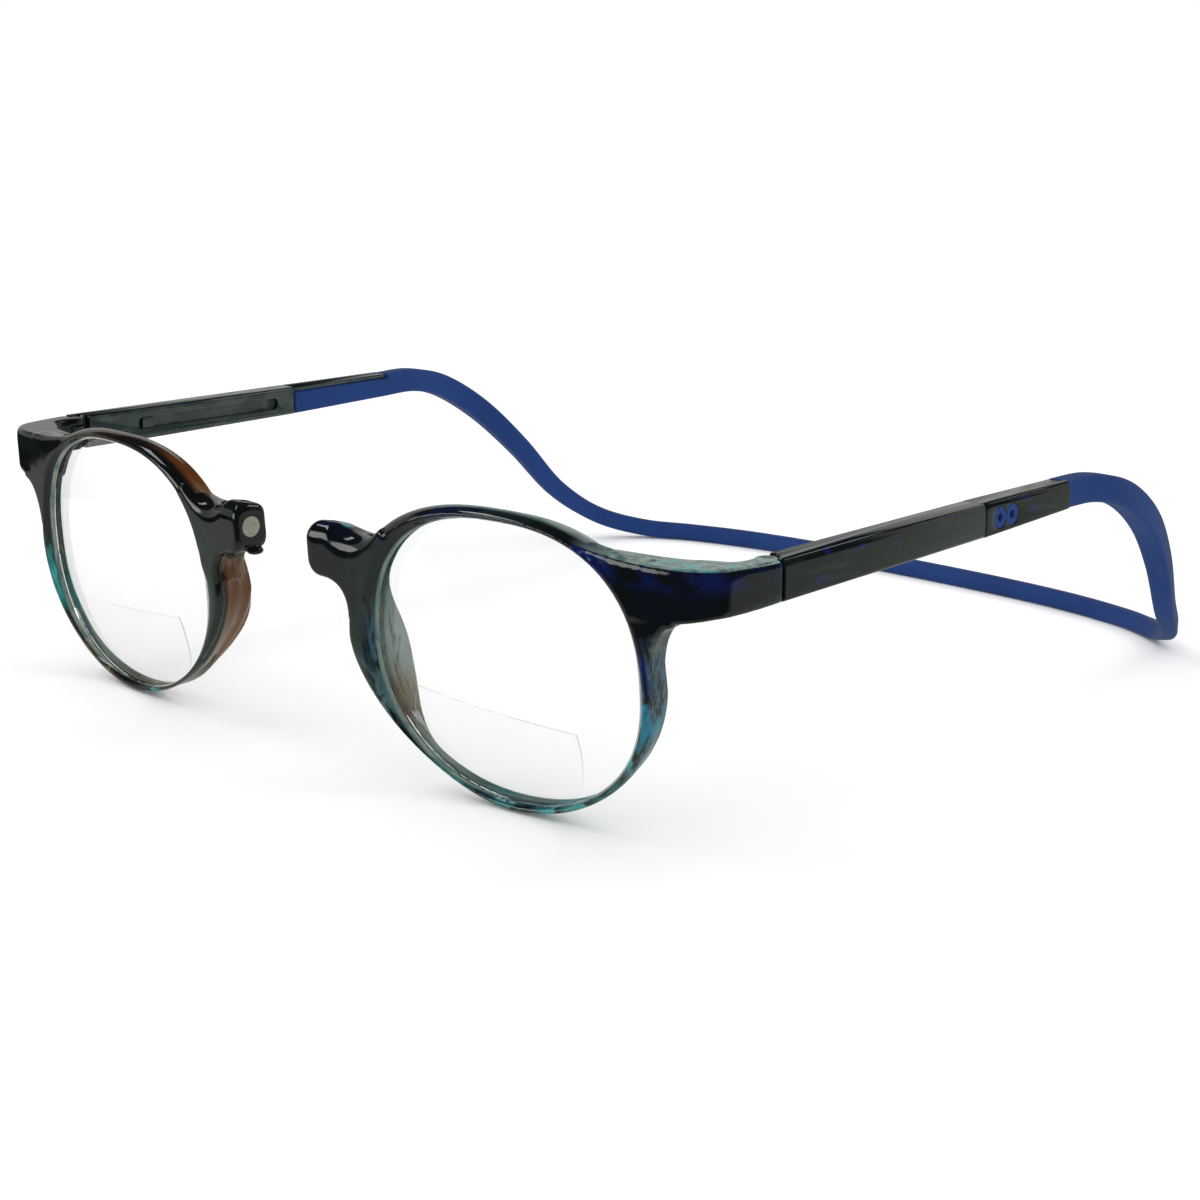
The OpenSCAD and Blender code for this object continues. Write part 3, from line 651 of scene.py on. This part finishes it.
def sleeve(word):
    """The hollow sleeve, with its hinge knuckle in front and its panel and window on the inner side."""
    side = SIDES[word]
    broken = 0.12
    rings = []
    for y, e in ((SEAM_GAP, broken), (SEAM_GAP + broken, 0), (SLEEVE_L - broken, 0), (SLEEVE_L, broken)):
        rings.append(bar_ring(y, -TEMPLE_W + e, -e, -taper(y, 0, SLEEVE_L, SLEEVE_H, SHELL_H) + e, -e, 0.6,
                              TEMPLE_CROWN))
    body = make_piece("sleeve", *skin(rings), side, TEMPLE)
    body = combine(body, block("cutter", (-TEMPLE_W - PAST, -PAST, -SLEEVE_H - PAST),
                               (PIN_X + 0.1, 2.2, PAST), side))
    wide, low, high = BARREL_D + 2 * BARREL_SLACK, -SLEEVE_H + EAR_H + BARREL_SLACK, -EAR_H - BARREL_SLACK
    body = combine(body, barrel("cutter", high, PAST, wide, side))
    body = combine(body, barrel("cutter", -SLEEVE_H - PAST, low, wide, side))
    body = combine(body, barrel("knuckle", low, high, BARREL_D, side), "UNION")
    body = combine(body, barrel("cutter", -SLEEVE_H - PAST, PAST, SCREW_D + 0.1, side))
    body = combine(body, tongue_block("cutter", TONGUE_START - 1, SLEEVE_L + PAST, 0.05, side))
    body = combine(body, pill_cutter(WINDOW_START + 1, SLEEVE_L + 3, 3.3, -TEMPLE_W + 0.3, side))
    body = combine(body, pill_cutter(WINDOW_START, WINDOW_START + WINDOW_L, WINDOW_H, TONGUE_X, side))
    body = chamfer(body, 0.07)
    body.name = "temple_sleeve_" + word
    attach(body, "sleeve_" + word)
    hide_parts("sleeve_" + word)
    return body


def slider(word):
    """The outer shell behind the sleeve, the lip along its inner side, and the tongue with its stop."""
    side = SIDES[word]
    shell = [bar_ring(y, -SHELL_T, -e, -taper(y, SHELL_START, SHELL_END, SHELL_H, SHELL_END_H), 0, 0.45,
                      TEMPLE_CROWN)
             for y, e in ((SHELL_START, 0.12), (SHELL_START + 0.12, 0), (SHELL_END - 0.1, 0), (SHELL_END, 0))]
    body = make_piece("shell", *skin(shell), side, TEMPLE)
    lip = [bar_ring(y, -taper(y, SHELL_START, SHELL_END, TEMPLE_W - 0.1, TEMPLE_W * 0.85), -0.8,
                    -LIP_T, -0.03, 0.3)
           for y in (SHELL_START + 0.03, SHELL_END - 0.3)]
    body = combine(body, make_piece("lip", *skin(lip), side, TEMPLE), "UNION")
    body = combine(body, tongue_block("tongue", TONGUE_START, SHELL_START + 9, 0, side), "UNION")
    tab = block("tab", (-TEMPLE_W + 0.5, WINDOW_START + 0.3, TONGUE_Z - WINDOW_H / 2 + 0.1),
                (TONGUE_X, WINDOW_START + 2.5, TONGUE_Z + WINDOW_H / 2 - 0.1), side)
    body = combine(body, tab, "UNION")
    for k in (-1, 1):
        body = combine(body, rod("cutter", (-TEMPLE_W, STUD_Y + k * STUD_PITCH / 2, -SHELL_H / 2), (1, 0, 0),
                                 TEMPLE_W + PAST, STUD_D + 0.06, side, TEMPLE, 64))
    body = chamfer(body, 0.06)
    body.name = "temple_shell_" + word
    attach(body, "arm_" + word)
    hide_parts("slider_" + word)
    return body


# Headband
TEMPLE_END = (*seam_point(-TEMPLE_W / 2, SHELL_END), TEMPLE_Z - SHELL_END_H / 2)
FLEX_END = (FLEX_X, FLEX_Y, BAND_Z)
# The arm's way from the temple's end to the flex on the floor, as shares across, back and down
ARM_SHARES = ((0, 0, 0), (-0.02, 0.13, 0.004), (-0.037, 0.265, 0.068), (0.004, 0.413, 0.23),
              (0.096, 0.55, 0.462), (0.215, 0.675, 0.726), (0.372, 0.81, 0.904), (0.643, 0.923, 0.985),
              (1, 1, 1))


def spline(points, steps):
    """A smooth way through points, whose ends are carried on."""
    points = [Vector(p) for p in points]
    line = []
    for i in range(1, len(points) - 2):
        p0, p1, p2, p3 = points[i - 1:i + 3]
        for k in range(steps):
            t = k / steps
            line.append(0.5 * (2 * p1 + (p2 - p0) * t + (2 * p0 - 5 * p1 + 4 * p2 - p3) * t * t
                               + (3 * p1 - p0 - 3 * p2 + p3) * t ** 3))
    return line + [points[-2]]


def band_way():
    """The band's middle line from the temple to past the middle, and how many points its arm has."""
    arm = [tuple(a + s * (b - a) for a, b, s in zip(TEMPLE_END, FLEX_END, share)) for share in ARM_SHARES]
    back = [(s * FLEX_X, SEAM_Y + BAND_BACK - BAND_BOW * (0.45 * s ** 2 + 0.55 * s ** 4), BAND_Z)
            for s in (0.8, 0.6, 0.4, 0.2, 0, -0.2)]
    before = (TEMPLE_END[0], TEMPLE_END[1] - 6, TEMPLE_END[2])
    steps = 16
    return spline([before] + arm + back, steps), steps * (len(arm) - 1)


def band_half(word):
    side = SIDES[word]
    way, arm_count = band_way()
    rings = []
    for i, at in enumerate(way):
        along = (way[min(i + 1, len(way) - 1)] - way[max(i - 1, 0)]).normalized()
        if i == len(way) - 1:
            along = Vector((-1, 0, 0))
        across = along.cross(Vector((0, 0, 1))).normalized()
        high = across.cross(along)
        share = ease((i / arm_count - 1 / 3) * 2)
        t = TEMPLE_W - 0.2 + (BAND_T - TEMPLE_W + 0.2) * share
        h = SHELL_END_H + (BAND_H - SHELL_END_H) * share
        section = bar_ring(0, -t / 2, t / 2, -h / 2, h / 2, 0.85, None, 8)
        rings.append([tuple(at + across * x + high * z) for x, _, z in section])
    body = make_piece("headband_" + word, *skin(rings), side)
    shade(body, 50)
    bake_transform(body)
    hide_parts("band_" + word, "band_back_section")
    return body


def ring_stud(y, side):
    """One ring of the double stud, with a dimple in its middle."""
    edge = STUD_D / 2
    profile = [(0.001, 0), (edge, 0), (edge, 1.45), (edge - 0.05, 1.55), (edge - 0.18, 1.6), (0.72, 1.6),
               (0.6, 1.54), (0.55, 1.4), (0.5, 0.5), (0.02, 0.45)]
    rings = [[(-SHELL_T + x, y + r * math.cos(a), -SHELL_H / 2 + r * math.sin(a)) for a in round_angles(48)]
             for r, x in profile]
    return make_piece("stud", *skin(rings), side, TEMPLE)


def liner(word):
    """The part of the band that lines the inner side of the shell, and its double stud."""
    side = SIDES[word]
    inner = -TEMPLE_W + 0.05
    rings = [bar_ring(y, x, -SHELL_T - 0.01, -taper(y, SHELL_START, SHELL_END, SHELL_H, SHELL_END_H) + 0.05,
                      -LIP_T - 0.01, 0.5)
             for y, x in ((SHELL_START + 0.1, inner + 0.15), (SHELL_START + 0.25, inner),
                          (SHELL_END + 0.4, inner))]
    body = make_piece("liner", *skin(rings), side, TEMPLE)
    shade(body, 40)
    stud = combine(*[ring_stud(STUD_Y + k * STUD_PITCH / 2, side) for k in (-1, 1)], "UNION")
    shade(weld(stud), 30)
    for piece, name in ((body, "band_liner_"), (stud, "band_stud_")):
        piece.name = name + word
        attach(piece, "arm_" + word)
        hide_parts("band_" + word)
    return body, stud


# Materials
class Paint:
    """The nodes of a material or of the world, built up from a few short calls."""

    def __init__(self, name, kind="Material"):
        self.owner = (bpy.data.worlds if kind == "World" else bpy.data.materials).new(name)
        self.owner.use_nodes = True
        self.tree = self.owner.node_tree
        self.tree.nodes.clear()
        self.output = self.node("ShaderNodeOutput" + kind)

    def node(self, kind, values=None, **settings):
        made = self.tree.nodes.new(kind)
        for key, value in settings.items():
            setattr(made, key, value)
        for key, value in (values or {}).items():
            if isinstance(value, bpy.types.NodeSocket):
                self.tree.links.new(value, made.inputs[key])
            else:
                made.inputs[key].default_value = value
        return made

    def stretched(self, at, scale):
        return self.node("ShaderNodeMapping", {"Vector": at, "Scale": scale}).outputs["Vector"]

    def place(self, scale=(1, 1, 1)):
        """Places in millimetres, stretched."""
        at = self.node("ShaderNodeTexCoord").outputs["Object"]
        return self.stretched(at, tuple(1000 * s for s in scale))

    def marked(self, name, output="Fac"):
        """A mark that the piece's points carry."""
        return self.node("ShaderNodeAttribute", attribute_name=name).outputs[output]

    def noise(self, at, scale, detail=3, rough=0.5, twist=0):
        made = self.node("ShaderNodeTexNoise", {"Vector": at, "Scale": scale, "Detail": detail,
                                                "Roughness": rough, "Distortion": twist})
        return made.outputs["Fac"]

    def ramp(self, value, low, high, a=0.0, b=1.0):
        """Runs softly from a to b while the value goes from low to high."""
        made = self.node("ShaderNodeMapRange", {"Value": value, "From Min": low, "From Max": high,
                                                "To Min": a, "To Max": b})
        made.interpolation_type = "SMOOTHSTEP"
        return made.outputs["Result"]

    def calc(self, operation, *values):
        return self.node("ShaderNodeMath", dict(enumerate(values)), operation=operation).outputs[0]

    def mix(self, share, a, b):
        """Colour a where the share is nothing, colour b where it is one."""
        made = self.node("ShaderNodeMix", data_type="RGBA")
        for socket, value in ((made.inputs[0], share), (made.inputs[6], a), (made.inputs[7], b)):
            if isinstance(value, bpy.types.NodeSocket):
                self.tree.links.new(value, socket)
            else:
                socket.default_value = (*value, 1)
        return made.outputs[2]

    def mirrored(self):
        """One for rays that a surface reflects, nothing for rays that pass through a lens."""
        path = self.node("ShaderNodeLightPath")
        return self.calc("MULTIPLY", path.outputs["Is Glossy Ray"],
                         self.calc("SUBTRACT", 1.0, path.outputs["Is Transmission Ray"]))

    def bump(self, height, strength, distance):
        return self.node("ShaderNodeBump", {"Height": height, "Strength": strength,
                                            "Distance": distance * MM}).outputs["Normal"]

    def surface(self, **values):
        """The shader of a plain surface, shown."""
        named = {key.replace("_", " "): value for key, value in values.items()}
        shader = self.node("ShaderNodeBsdfPrincipled", named)
        self.show(shader)
        return shader

    def either(self, share, a, b):
        """Shows shader a where the share is nothing, shader b where it is one."""
        self.show(self.node("ShaderNodeMixShader", {0: share, 1: a.outputs[0], 2: b.outputs[0]}))

    def show(self, shader):
        self.tree.links.new(shader.outputs[0], self.output.inputs["Surface"])


BLACK, SLATE, UMBER = (0.0035, 0.0045, 0.005), (0.008, 0.015, 0.015), (0.018, 0.011, 0.007)
NAVY, BLUE, STEEL = (0.004, 0.008, 0.03), (0.004, 0.012, 0.095), (0.045, 0.10, 0.14)
TEAL, AQUA, CYAN = (0.016, 0.13, 0.13), (0.05, 0.30, 0.30), (0.01, 0.17, 0.25)
SEA, MIST, BROWN = (0.07, 0.125, 0.12), (0.20, 0.26, 0.24), (0.09, 0.029, 0.007)
AMBER, SAND = (0.12, 0.038, 0.008), (0.17, 0.13, 0.085)

# Colours round the rim, as shares of a turn from the temple side over the top, the nose and the bottom
WRAP_AT = 0.1
FACE_BANDS = {
    "left": ((0.007, UMBER), (0.016, NAVY), (0.028, BLUE), (0.04, NAVY), (0.05, BLACK), (0.1, BLACK),
             (0.13, BLUE), (0.15, BLACK), (0.25, SLATE), (0.31, NAVY), (0.35, BLACK), (0.5, SLATE),
             (0.55, SEA), (0.6, BLACK), (0.66, TEAL), (0.7, BLACK), (0.74, TEAL), (0.78, BLACK),
             (0.81, AQUA), (0.825, BLACK), (0.85, AQUA), (0.87, SLATE), (0.885, TEAL), (0.905, UMBER),
             (0.92, STEEL), (0.935, AQUA), (0.95, UMBER), (0.962, UMBER), (0.972, CYAN), (0.99, CYAN)),
    "right": ((0.01, BLACK), (0.1, BLACK), (0.2, UMBER), (0.33, BLACK), (0.4, BLACK), (0.43, BLACK),
              (0.45, SLATE), (0.62, SLATE), (0.68, BLACK), (0.7, AQUA), (0.72, BLACK), (0.79, BLACK),
              (0.82, SAND), (0.84, UMBER), (0.87, BROWN), (0.9, UMBER), (0.925, TEAL), (0.95, AQUA),
              (0.975, TEAL))}
WALL_BANDS = {
    "left": ((0.007, UMBER), (0.02, STEEL), (0.06, SLATE), (0.1, SLATE), (0.17, MIST), (0.25, SEA),
             (0.33, SEA), (0.42, SEA), (0.5, MIST), (0.56, SAND), (0.62, MIST), (0.68, SEA),
             (0.72, TEAL), (0.78, SEA), (0.85, AQUA), (0.9, SEA), (0.95, STEEL), (0.962, UMBER),
             (0.975, CYAN), (0.995, STEEL)),
    "right": ((0, SLATE), (0.1, BLACK), (0.14, UMBER), (0.22, BROWN), (0.3, UMBER), (0.38, BROWN),
              (0.44, SAND), (0.5, BROWN), (0.56, AMBER), (0.61, BROWN), (0.68, SAND), (0.76, UMBER),
              (0.85, SEA), (0.93, TEAL))}
LIPS = {"left": ((0.16, 0.21, 0.17), (0.07, 0.13, 0.12)), "right": ((0.23, 0.26, 0.22), (0.07, 0.13, 0.12))}

# On each side: hairlines of the face, shadows of the walls, the face's inner edge, veins of the walls,
# patches on the end piece that grow toward its top, and the ground and bloom of its top
ACCENTS = {"left": (BLUE, SLATE, STEEL, MIST, BLUE, (SEA, MIST), AQUA),
           "right": (UMBER, UMBER, SLATE, BROWN, SLATE, (SLATE, UMBER), SLATE)}


def bands(paint, value, stops):
    """A closed ring of colours, read by the share of a turn."""
    stops = sorted(((at - WRAP_AT) % 1, colour) for at, colour in stops)
    made = paint.node("ShaderNodeValToRGB", {0: value})
    ramp = made.color_ramp
    ramp.interpolation = "EASE"
    while len(ramp.elements) < len(stops):
        ramp.elements.new(0.5)
    for element, (at, colour) in zip(ramp.elements, stops):
        element.position = at
        element.color = (*colour, 1)
    return made.outputs[0]


def frame_plastic(word):
    """Dark moulded plastic whose translucent streaks run along the rim, with thinner and lighter walls."""
    hairline, shadow, inside, vein, patch_colour, ground, bloom = ACCENTS[word]
    p = Paint("frame_plastic_" + word)
    spot = p.node("ShaderNodeSeparateXYZ", {0: p.marked("spot", "Vector")}).outputs
    turn = p.calc("DIVIDE", p.calc("ARCTAN2", spot["Z"], spot["X"]), 2 * math.pi)
    turn = p.calc("FRACT", p.calc("SUBTRACT", turn, WRAP_AT))
    across, wall, lip, body = [p.marked(name) for name in ("across", "wall", "lip", "body")]
    run = p.node("ShaderNodeCombineXYZ", {0: turn, 1: across, 2: spot["Y"]}).outputs["Vector"]
    flow = p.noise(p.stretched(run, (34, 1.6, 0.8)), 1.0, 4, 0.6, 0.7)
    thin = p.noise(p.stretched(run, (60, 5.5, 2.6)), 1, 3, 0.55, 0.4)
    blot = p.noise(p.place((1, 1, 1.6)), 0.14, 3, 0.5, 0.6)
    fleck = p.noise(p.place((1, 1, 2.2)), 0.5, 3, 0.55, 1.2)

    moved = p.calc("ADD", turn, p.calc("MULTIPLY_ADD", across, 0.012, -0.006))
    moved = p.calc("ADD", moved, p.ramp(flow, 0.25, 0.75, -0.022, 0.022))
    face = bands(p, moved, FACE_BANDS[word])
    vivid = p.calc("MULTIPLY", p.ramp(turn, 0.68, 0.73), p.ramp(turn, 0.93, 0.96, 1, 0.0))
    veil = p.calc("MULTIPLY", p.ramp(flow, 0.46, 0.6, 0.0, 0.85), p.ramp(vivid, 0, 1, 1, 0.35))
    face = p.mix(veil, face, BLACK)
    face = p.mix(p.ramp(thin, 0.6, 0.72, 0.0, 0.5), face, hairline)
    rim_inside = p.calc("MULTIPLY", p.ramp(across, 0.12, 0.45, 0.8, 0.0), p.ramp(thin, 0.4, 0.52))
    face = p.mix(p.calc("MULTIPLY", rim_inside, p.ramp(turn, 0.33, 0.42)), face, inside)
    # Patches on the end piece's face: faint low down, growing with height toward its top edge
    edge = p.ramp(p.node("ShaderNodeSeparateXYZ", {0: p.place()}).outputs["Z"], 33.6, 36.4, 0.03, 0.5)
    patch = p.mix(p.calc("MULTIPLY", p.ramp(blot, 0.44, 0.58), edge), BLACK, patch_colour)
    face = p.mix(body, face, patch)

    walls = bands(p, moved, WALL_BANDS[word])
    walls = p.mix(p.ramp(flow, 0.52, 0.66, 0.0, 0.6), walls, shadow)
    walls = p.mix(p.ramp(thin, 0.56, 0.7, 0.0, 0.45), walls, vein)
    mottle = p.mix(p.ramp(blot, 0.5, 0.6), p.mix(p.ramp(fleck, 0.42, 0.58), *ground), bloom)
    walls = p.mix(body, walls, mottle)

    colour = p.mix(lip, p.mix(wall, face, walls), p.mix(p.ramp(flow, 0.4, 0.65), *LIPS[word]))
    p.surface(Base_Color=colour, Roughness=p.ramp(p.noise(p.place(), 0.6), 0.3, 0.75, 0.04, 0.11), IOR=1.5,
              Normal=p.bump(p.noise(p.place(), 0.3, 2), 0.12, 0.15))
    return p.owner


def temple_plastic(name):
    """The same plastic on the temples: nearly black with blue spots outside, paler on the inner side."""
    p = Paint(name)
    flow = p.noise(p.place((1.0, 0.14, 1.0)), 0.55, 4, 0.6, 0.9)
    spots = p.noise(p.place((1, 0.5, 1)), 0.4, 3, 0.5, 0.5)
    dark = p.mix(p.ramp(flow, 0.5, 0.68), (0.004, 0.006, 0.006), (0.012, 0.018, 0.018))
    outer = p.mix(p.ramp(spots, 0.6, 0.72, 0.0, 0.6), dark, (0.006, 0.010, 0.13))
    pale = p.mix(p.ramp(spots, 0.4, 0.62), (0.024, 0.036, 0.036), (0.045, 0.06, 0.058))
    across = [p.node("ShaderNodeTexCoord").outputs[kind] for kind in ("Object", "Normal")]
    across = [p.node("ShaderNodeSeparateXYZ", {0: way}).outputs["X"] for way in across]
    inward = p.ramp(p.calc("MULTIPLY", *across), -0.06, -0.04, 1.0, 0.0)
    rough = p.ramp(p.noise(p.place((1, 0.3, 1)), 0.8), 0.3, 0.75, 0.05, 0.14)
    p.surface(Base_Color=p.mix(inward, outer, pale), Roughness=rough, IOR=1.5,
              Normal=p.bump(p.noise(p.place((1, 0.35, 1)), 0.35, 2), 0.14, 0.15))
    return p.owner


def band_rubber():
    p = Paint("band_rubber")
    cloud = p.noise(p.place(), 0.08)
    grain = p.noise(p.place(), 9, 3, 0.6)
    blue = p.mix(p.ramp(cloud, 0.35, 0.7), (0.009, 0.038, 0.165), (0.012, 0.046, 0.195))
    colour = p.mix(p.ramp(grain, 0.35, 0.75, 0, 0.35), blue, (0.007, 0.026, 0.115))
    p.surface(Base_Color=colour, Roughness=p.ramp(grain, 0.3, 0.7, 0.42, 0.58), IOR=1.26,
              Normal=p.bump(grain, 0.25, 0.02))
    return p.owner


def lens_glass():
    """Clear lens, a little darker in the reading segment, which lets the light through to the floor."""
    p = Paint("lens_glass")
    tint = p.mix(p.ramp(p.noise(p.place(), 0.12), 0.3, 0.7), (1.0, 1.0, 1.0), (0.985, 0.99, 0.99))
    tint = p.mix(p.marked("segment"), tint, (0.94, 0.943, 0.937))
    shader = p.surface(Base_Color=tint, Roughness=0.0, IOR=1.45, Transmission_Weight=1.0)
    through = p.node("ShaderNodeBsdfTransparent", {"Color": (0.96, 0.97, 0.97, 1)})
    p.either(p.node("ShaderNodeLightPath").outputs["Is Shadow Ray"], shader, through)
    return p.owner


def steel(name, colour, rough):
    p = Paint(name)
    brushed = p.noise(p.place((1, 1, 6)), 1.5)
    shown = p.mix(p.ramp(brushed, 0.3, 0.7), colour, tuple(0.8 * c for c in colour))
    p.surface(Base_Color=shown, Metallic=1.0, Roughness=p.ramp(brushed, 0.3, 0.7, rough, rough + 0.12),
              Normal=p.bump(brushed, 0.1, 0.02))
    return p.owner


def dress(piece, material):
    piece.data.materials.clear()
    piece.data.materials.append(material)


def mark(piece, name, kind, values):
    """Writes a value, or three, on each point of a piece."""
    made = piece.data.attributes.new(name, kind, "POINT")
    made.data.foreach_set("vector" if kind == "FLOAT_VECTOR" else "value", values)


def mark_zones(piece, word):
    """Marks a front half: place in the lens frame, way across the rim, thin walls, lip, end piece."""
    back = to_row(SIDES[word], LENS).inverted()
    spot, zones = [], {"across": [], "wall": [], "lip": [], "body": []}
    for vertex in piece.data.vertices:
        u, y, v = back @ vertex.co
        phi, r = math.atan2(v, u), math.hypot(u, v)
        a, b = opening(phi), rim_edge(phi)
        near = ease((b + 1.4 - r) / 0.8)
        rear = ease((y - 1.5 - 1.2 * (b < r) + 0.3 * crowned(phi)) / 1.0)
        top = ease((vertex.normal.z - 0.55) / 0.25) * ease((u - 12) / 6)
        crest = 0.9 * ease((ROOT_U - 0.5 - u) / 1.5) * ease((v - LUG_TOP + 2) / 0.6) * ease((y - 2.6) / 0.6)
        rounded = 0.85 * ease((r - b + 0.6) / 0.45) * ease((0.45 - abs(phi + 0.1)) / 0.15)
        seat = ease((a + 0.5 - r) / 0.3) * ease((y - 2.2) / 0.4)
        spot += [u, y, v]
        zones["across"].append((r - a) / (b - a))
        zones["wall"].append(max(rear * near, top, crest, rounded, seat))
        zones["body"].append(ease((r - b - 0.2) / 1.4))
        zones["lip"].append(ease((a + 0.42 - r) / 0.2) * ease((2.0 - y) / 0.3))
    mark(piece, "spot", "FLOAT_VECTOR", spot)
    for name, values in zones.items():
        mark(piece, name, "FLOAT", values)


# Floor and light
def toward_light(paint, at, direction, low, high):
    """Share that falls from one to nothing along a direction."""
    along = paint.node("ShaderNodeVectorMath", {0: at, 1: direction}, operation="DOT_PRODUCT")
    return paint.ramp(along.outputs["Value"], low, high, 1.0, 0.0)


def make_floor():
    """A white sheet, lit for the camera. For reflected rays it is a glow instead, a painted reflection:
    bright near the object, with an end towards the dark room.
    """
    mesh = bpy.data.meshes.new("floor")
    reach = 4
    corners = [(-reach, -reach, 0), (reach, -reach, 0), (reach, reach, 0), (-reach, reach, 0)]
    mesh.from_pydata(corners, [], [(0, 1, 2, 3)])
    floor = bpy.data.objects.new("floor", mesh)
    bpy.context.scene.collection.objects.link(floor)
    p = Paint("floor")
    at = p.node("ShaderNodeTexCoord").outputs["Object"]
    # Painted reflection: the share of the floor that glows for reflected rays, full near the object and
    # fading at an end towards the dark room
    sheet = p.calc("MULTIPLY", toward_light(p, at, (0.45, -0.89, 0), 0.112, 0.132),
                   toward_light(p, at, (-1, -0.1, 0), 0.203, 0.212))
    paper = p.node("ShaderNodeBsdfDiffuse", {"Color": (1.0, 1.0, 1.0, 1)})
    # Painted reflection: the glow that reflected rays see in place of the lit paper
    shown = p.node("ShaderNodeEmission", {"Color": (0.92, 1.0, 0.88, 1),
                                          "Strength": p.ramp(sheet, 0, 1, 0.015, 0.52)})
    p.either(p.mirrored(), paper, shown)
    dress(floor, p.owner)


def make_world():
    """An even white room; in gloss, walls bright low down behind the object and dark above, and a softbox."""
    p = Paint("world", "World")
    bpy.context.scene.world = p.owner
    at = p.node("ShaderNodeTexCoord").outputs["Generated"]
    low = toward_light(p, at, (0, 0, 1), 0.36, 0.46)
    back = toward_light(p, at, (1, -0.6, 0), 0.0, 0.2)
    box = toward_light(p, at, (0.58, 0.8, -0.15), -0.98, -0.955)
    gloss = p.calc("ADD", p.ramp(p.calc("MULTIPLY", low, back), 0, 1, 0.015, 0.5), p.ramp(box, 0, 1, 0, 3.5))
    even = p.node("ShaderNodeBackground", {"Color": (1, 1, 1, 1), "Strength": 1.0})
    seen = p.node("ShaderNodeBackground", {"Color": (0.97, 1.0, 0.97, 1), "Strength": gloss})
    p.either(p.mirrored(), even, seen)


def make_lamp(name, at, size):
    """A long soft lamp, turned to the object."""
    data = bpy.data.lights.new(name, "AREA")
    data.shape = "RECTANGLE"
    data.size, data.size_y = size
    data.energy = 0.8
    lamp = bpy.data.objects.new(name, data)
    bpy.context.scene.collection.objects.link(lamp)
    lamp.location = at
    lamp.rotation_euler = (-Vector(at)).to_track_quat("-Z", "Y").to_euler()


def make_camera():
    """The photograph's view: a long lens, to the front left of the wearer and a little above."""
    azimuth, elevation, roll = math.radians(43.346), math.radians(14.084), math.radians(0.076)
    place = (0.25748, -0.28206, 0.10468)
    data = bpy.data.cameras.new("camera")
    data.sensor_width, data.lens = 36, 72
    data.clip_start, data.clip_end = 0.01, 20
    camera = bpy.data.objects.new("camera", data)
    bpy.context.scene.collection.objects.link(camera)
    back = Vector((math.sin(azimuth) * math.cos(elevation), -math.cos(azimuth) * math.cos(elevation),
                   math.sin(elevation)))
    right = Vector((math.cos(azimuth), math.sin(azimuth), 0))
    up = back.cross(right)
    turned = right * math.cos(roll) + up * math.sin(roll)
    raised = up * math.cos(roll) - right * math.sin(roll)
    rows = [(turned[i], raised[i], back[i], place[i]) for i in range(3)]
    camera.matrix_world = Matrix((*rows, (0, 0, 0, 1)))
    bpy.context.scene.camera = camera


make_camera()
make_floor()
make_world()
make_lamp("key", (-0.55, -0.25, 0.75), (0.5, 0.12))
make_lamp("fill", (0.35, 0.75, 0.8), (0.6, 0.12))
bpy.context.scene.view_settings.view_transform = "Standard"

plastics = {word: frame_plastic(word) for word in SIDES}
temples = temple_plastic("temple_plastic")
rubber = band_rubber()
glass = lens_glass()
nickel = steel("magnet_nickel", (0.62, 0.59, 0.53), 0.28)
screw = steel("screw_steel", (0.55, 0.55, 0.55), 0.3)
for word in SIDES:
    moulded = front(word)
    mark_zones(moulded, word)
    dress(moulded, plastics[word])
    dress(lens(word), glass)
    dress(sleeve(word), temples)
    dress(slider(word), temples)
    dress(band_half(word), rubber)
    for piece in liner(word):
        dress(piece, rubber)
    for node, material in (("magnet_", nickel), ("hinge_screw_", screw)):
        dress(NODES[node + word], material)
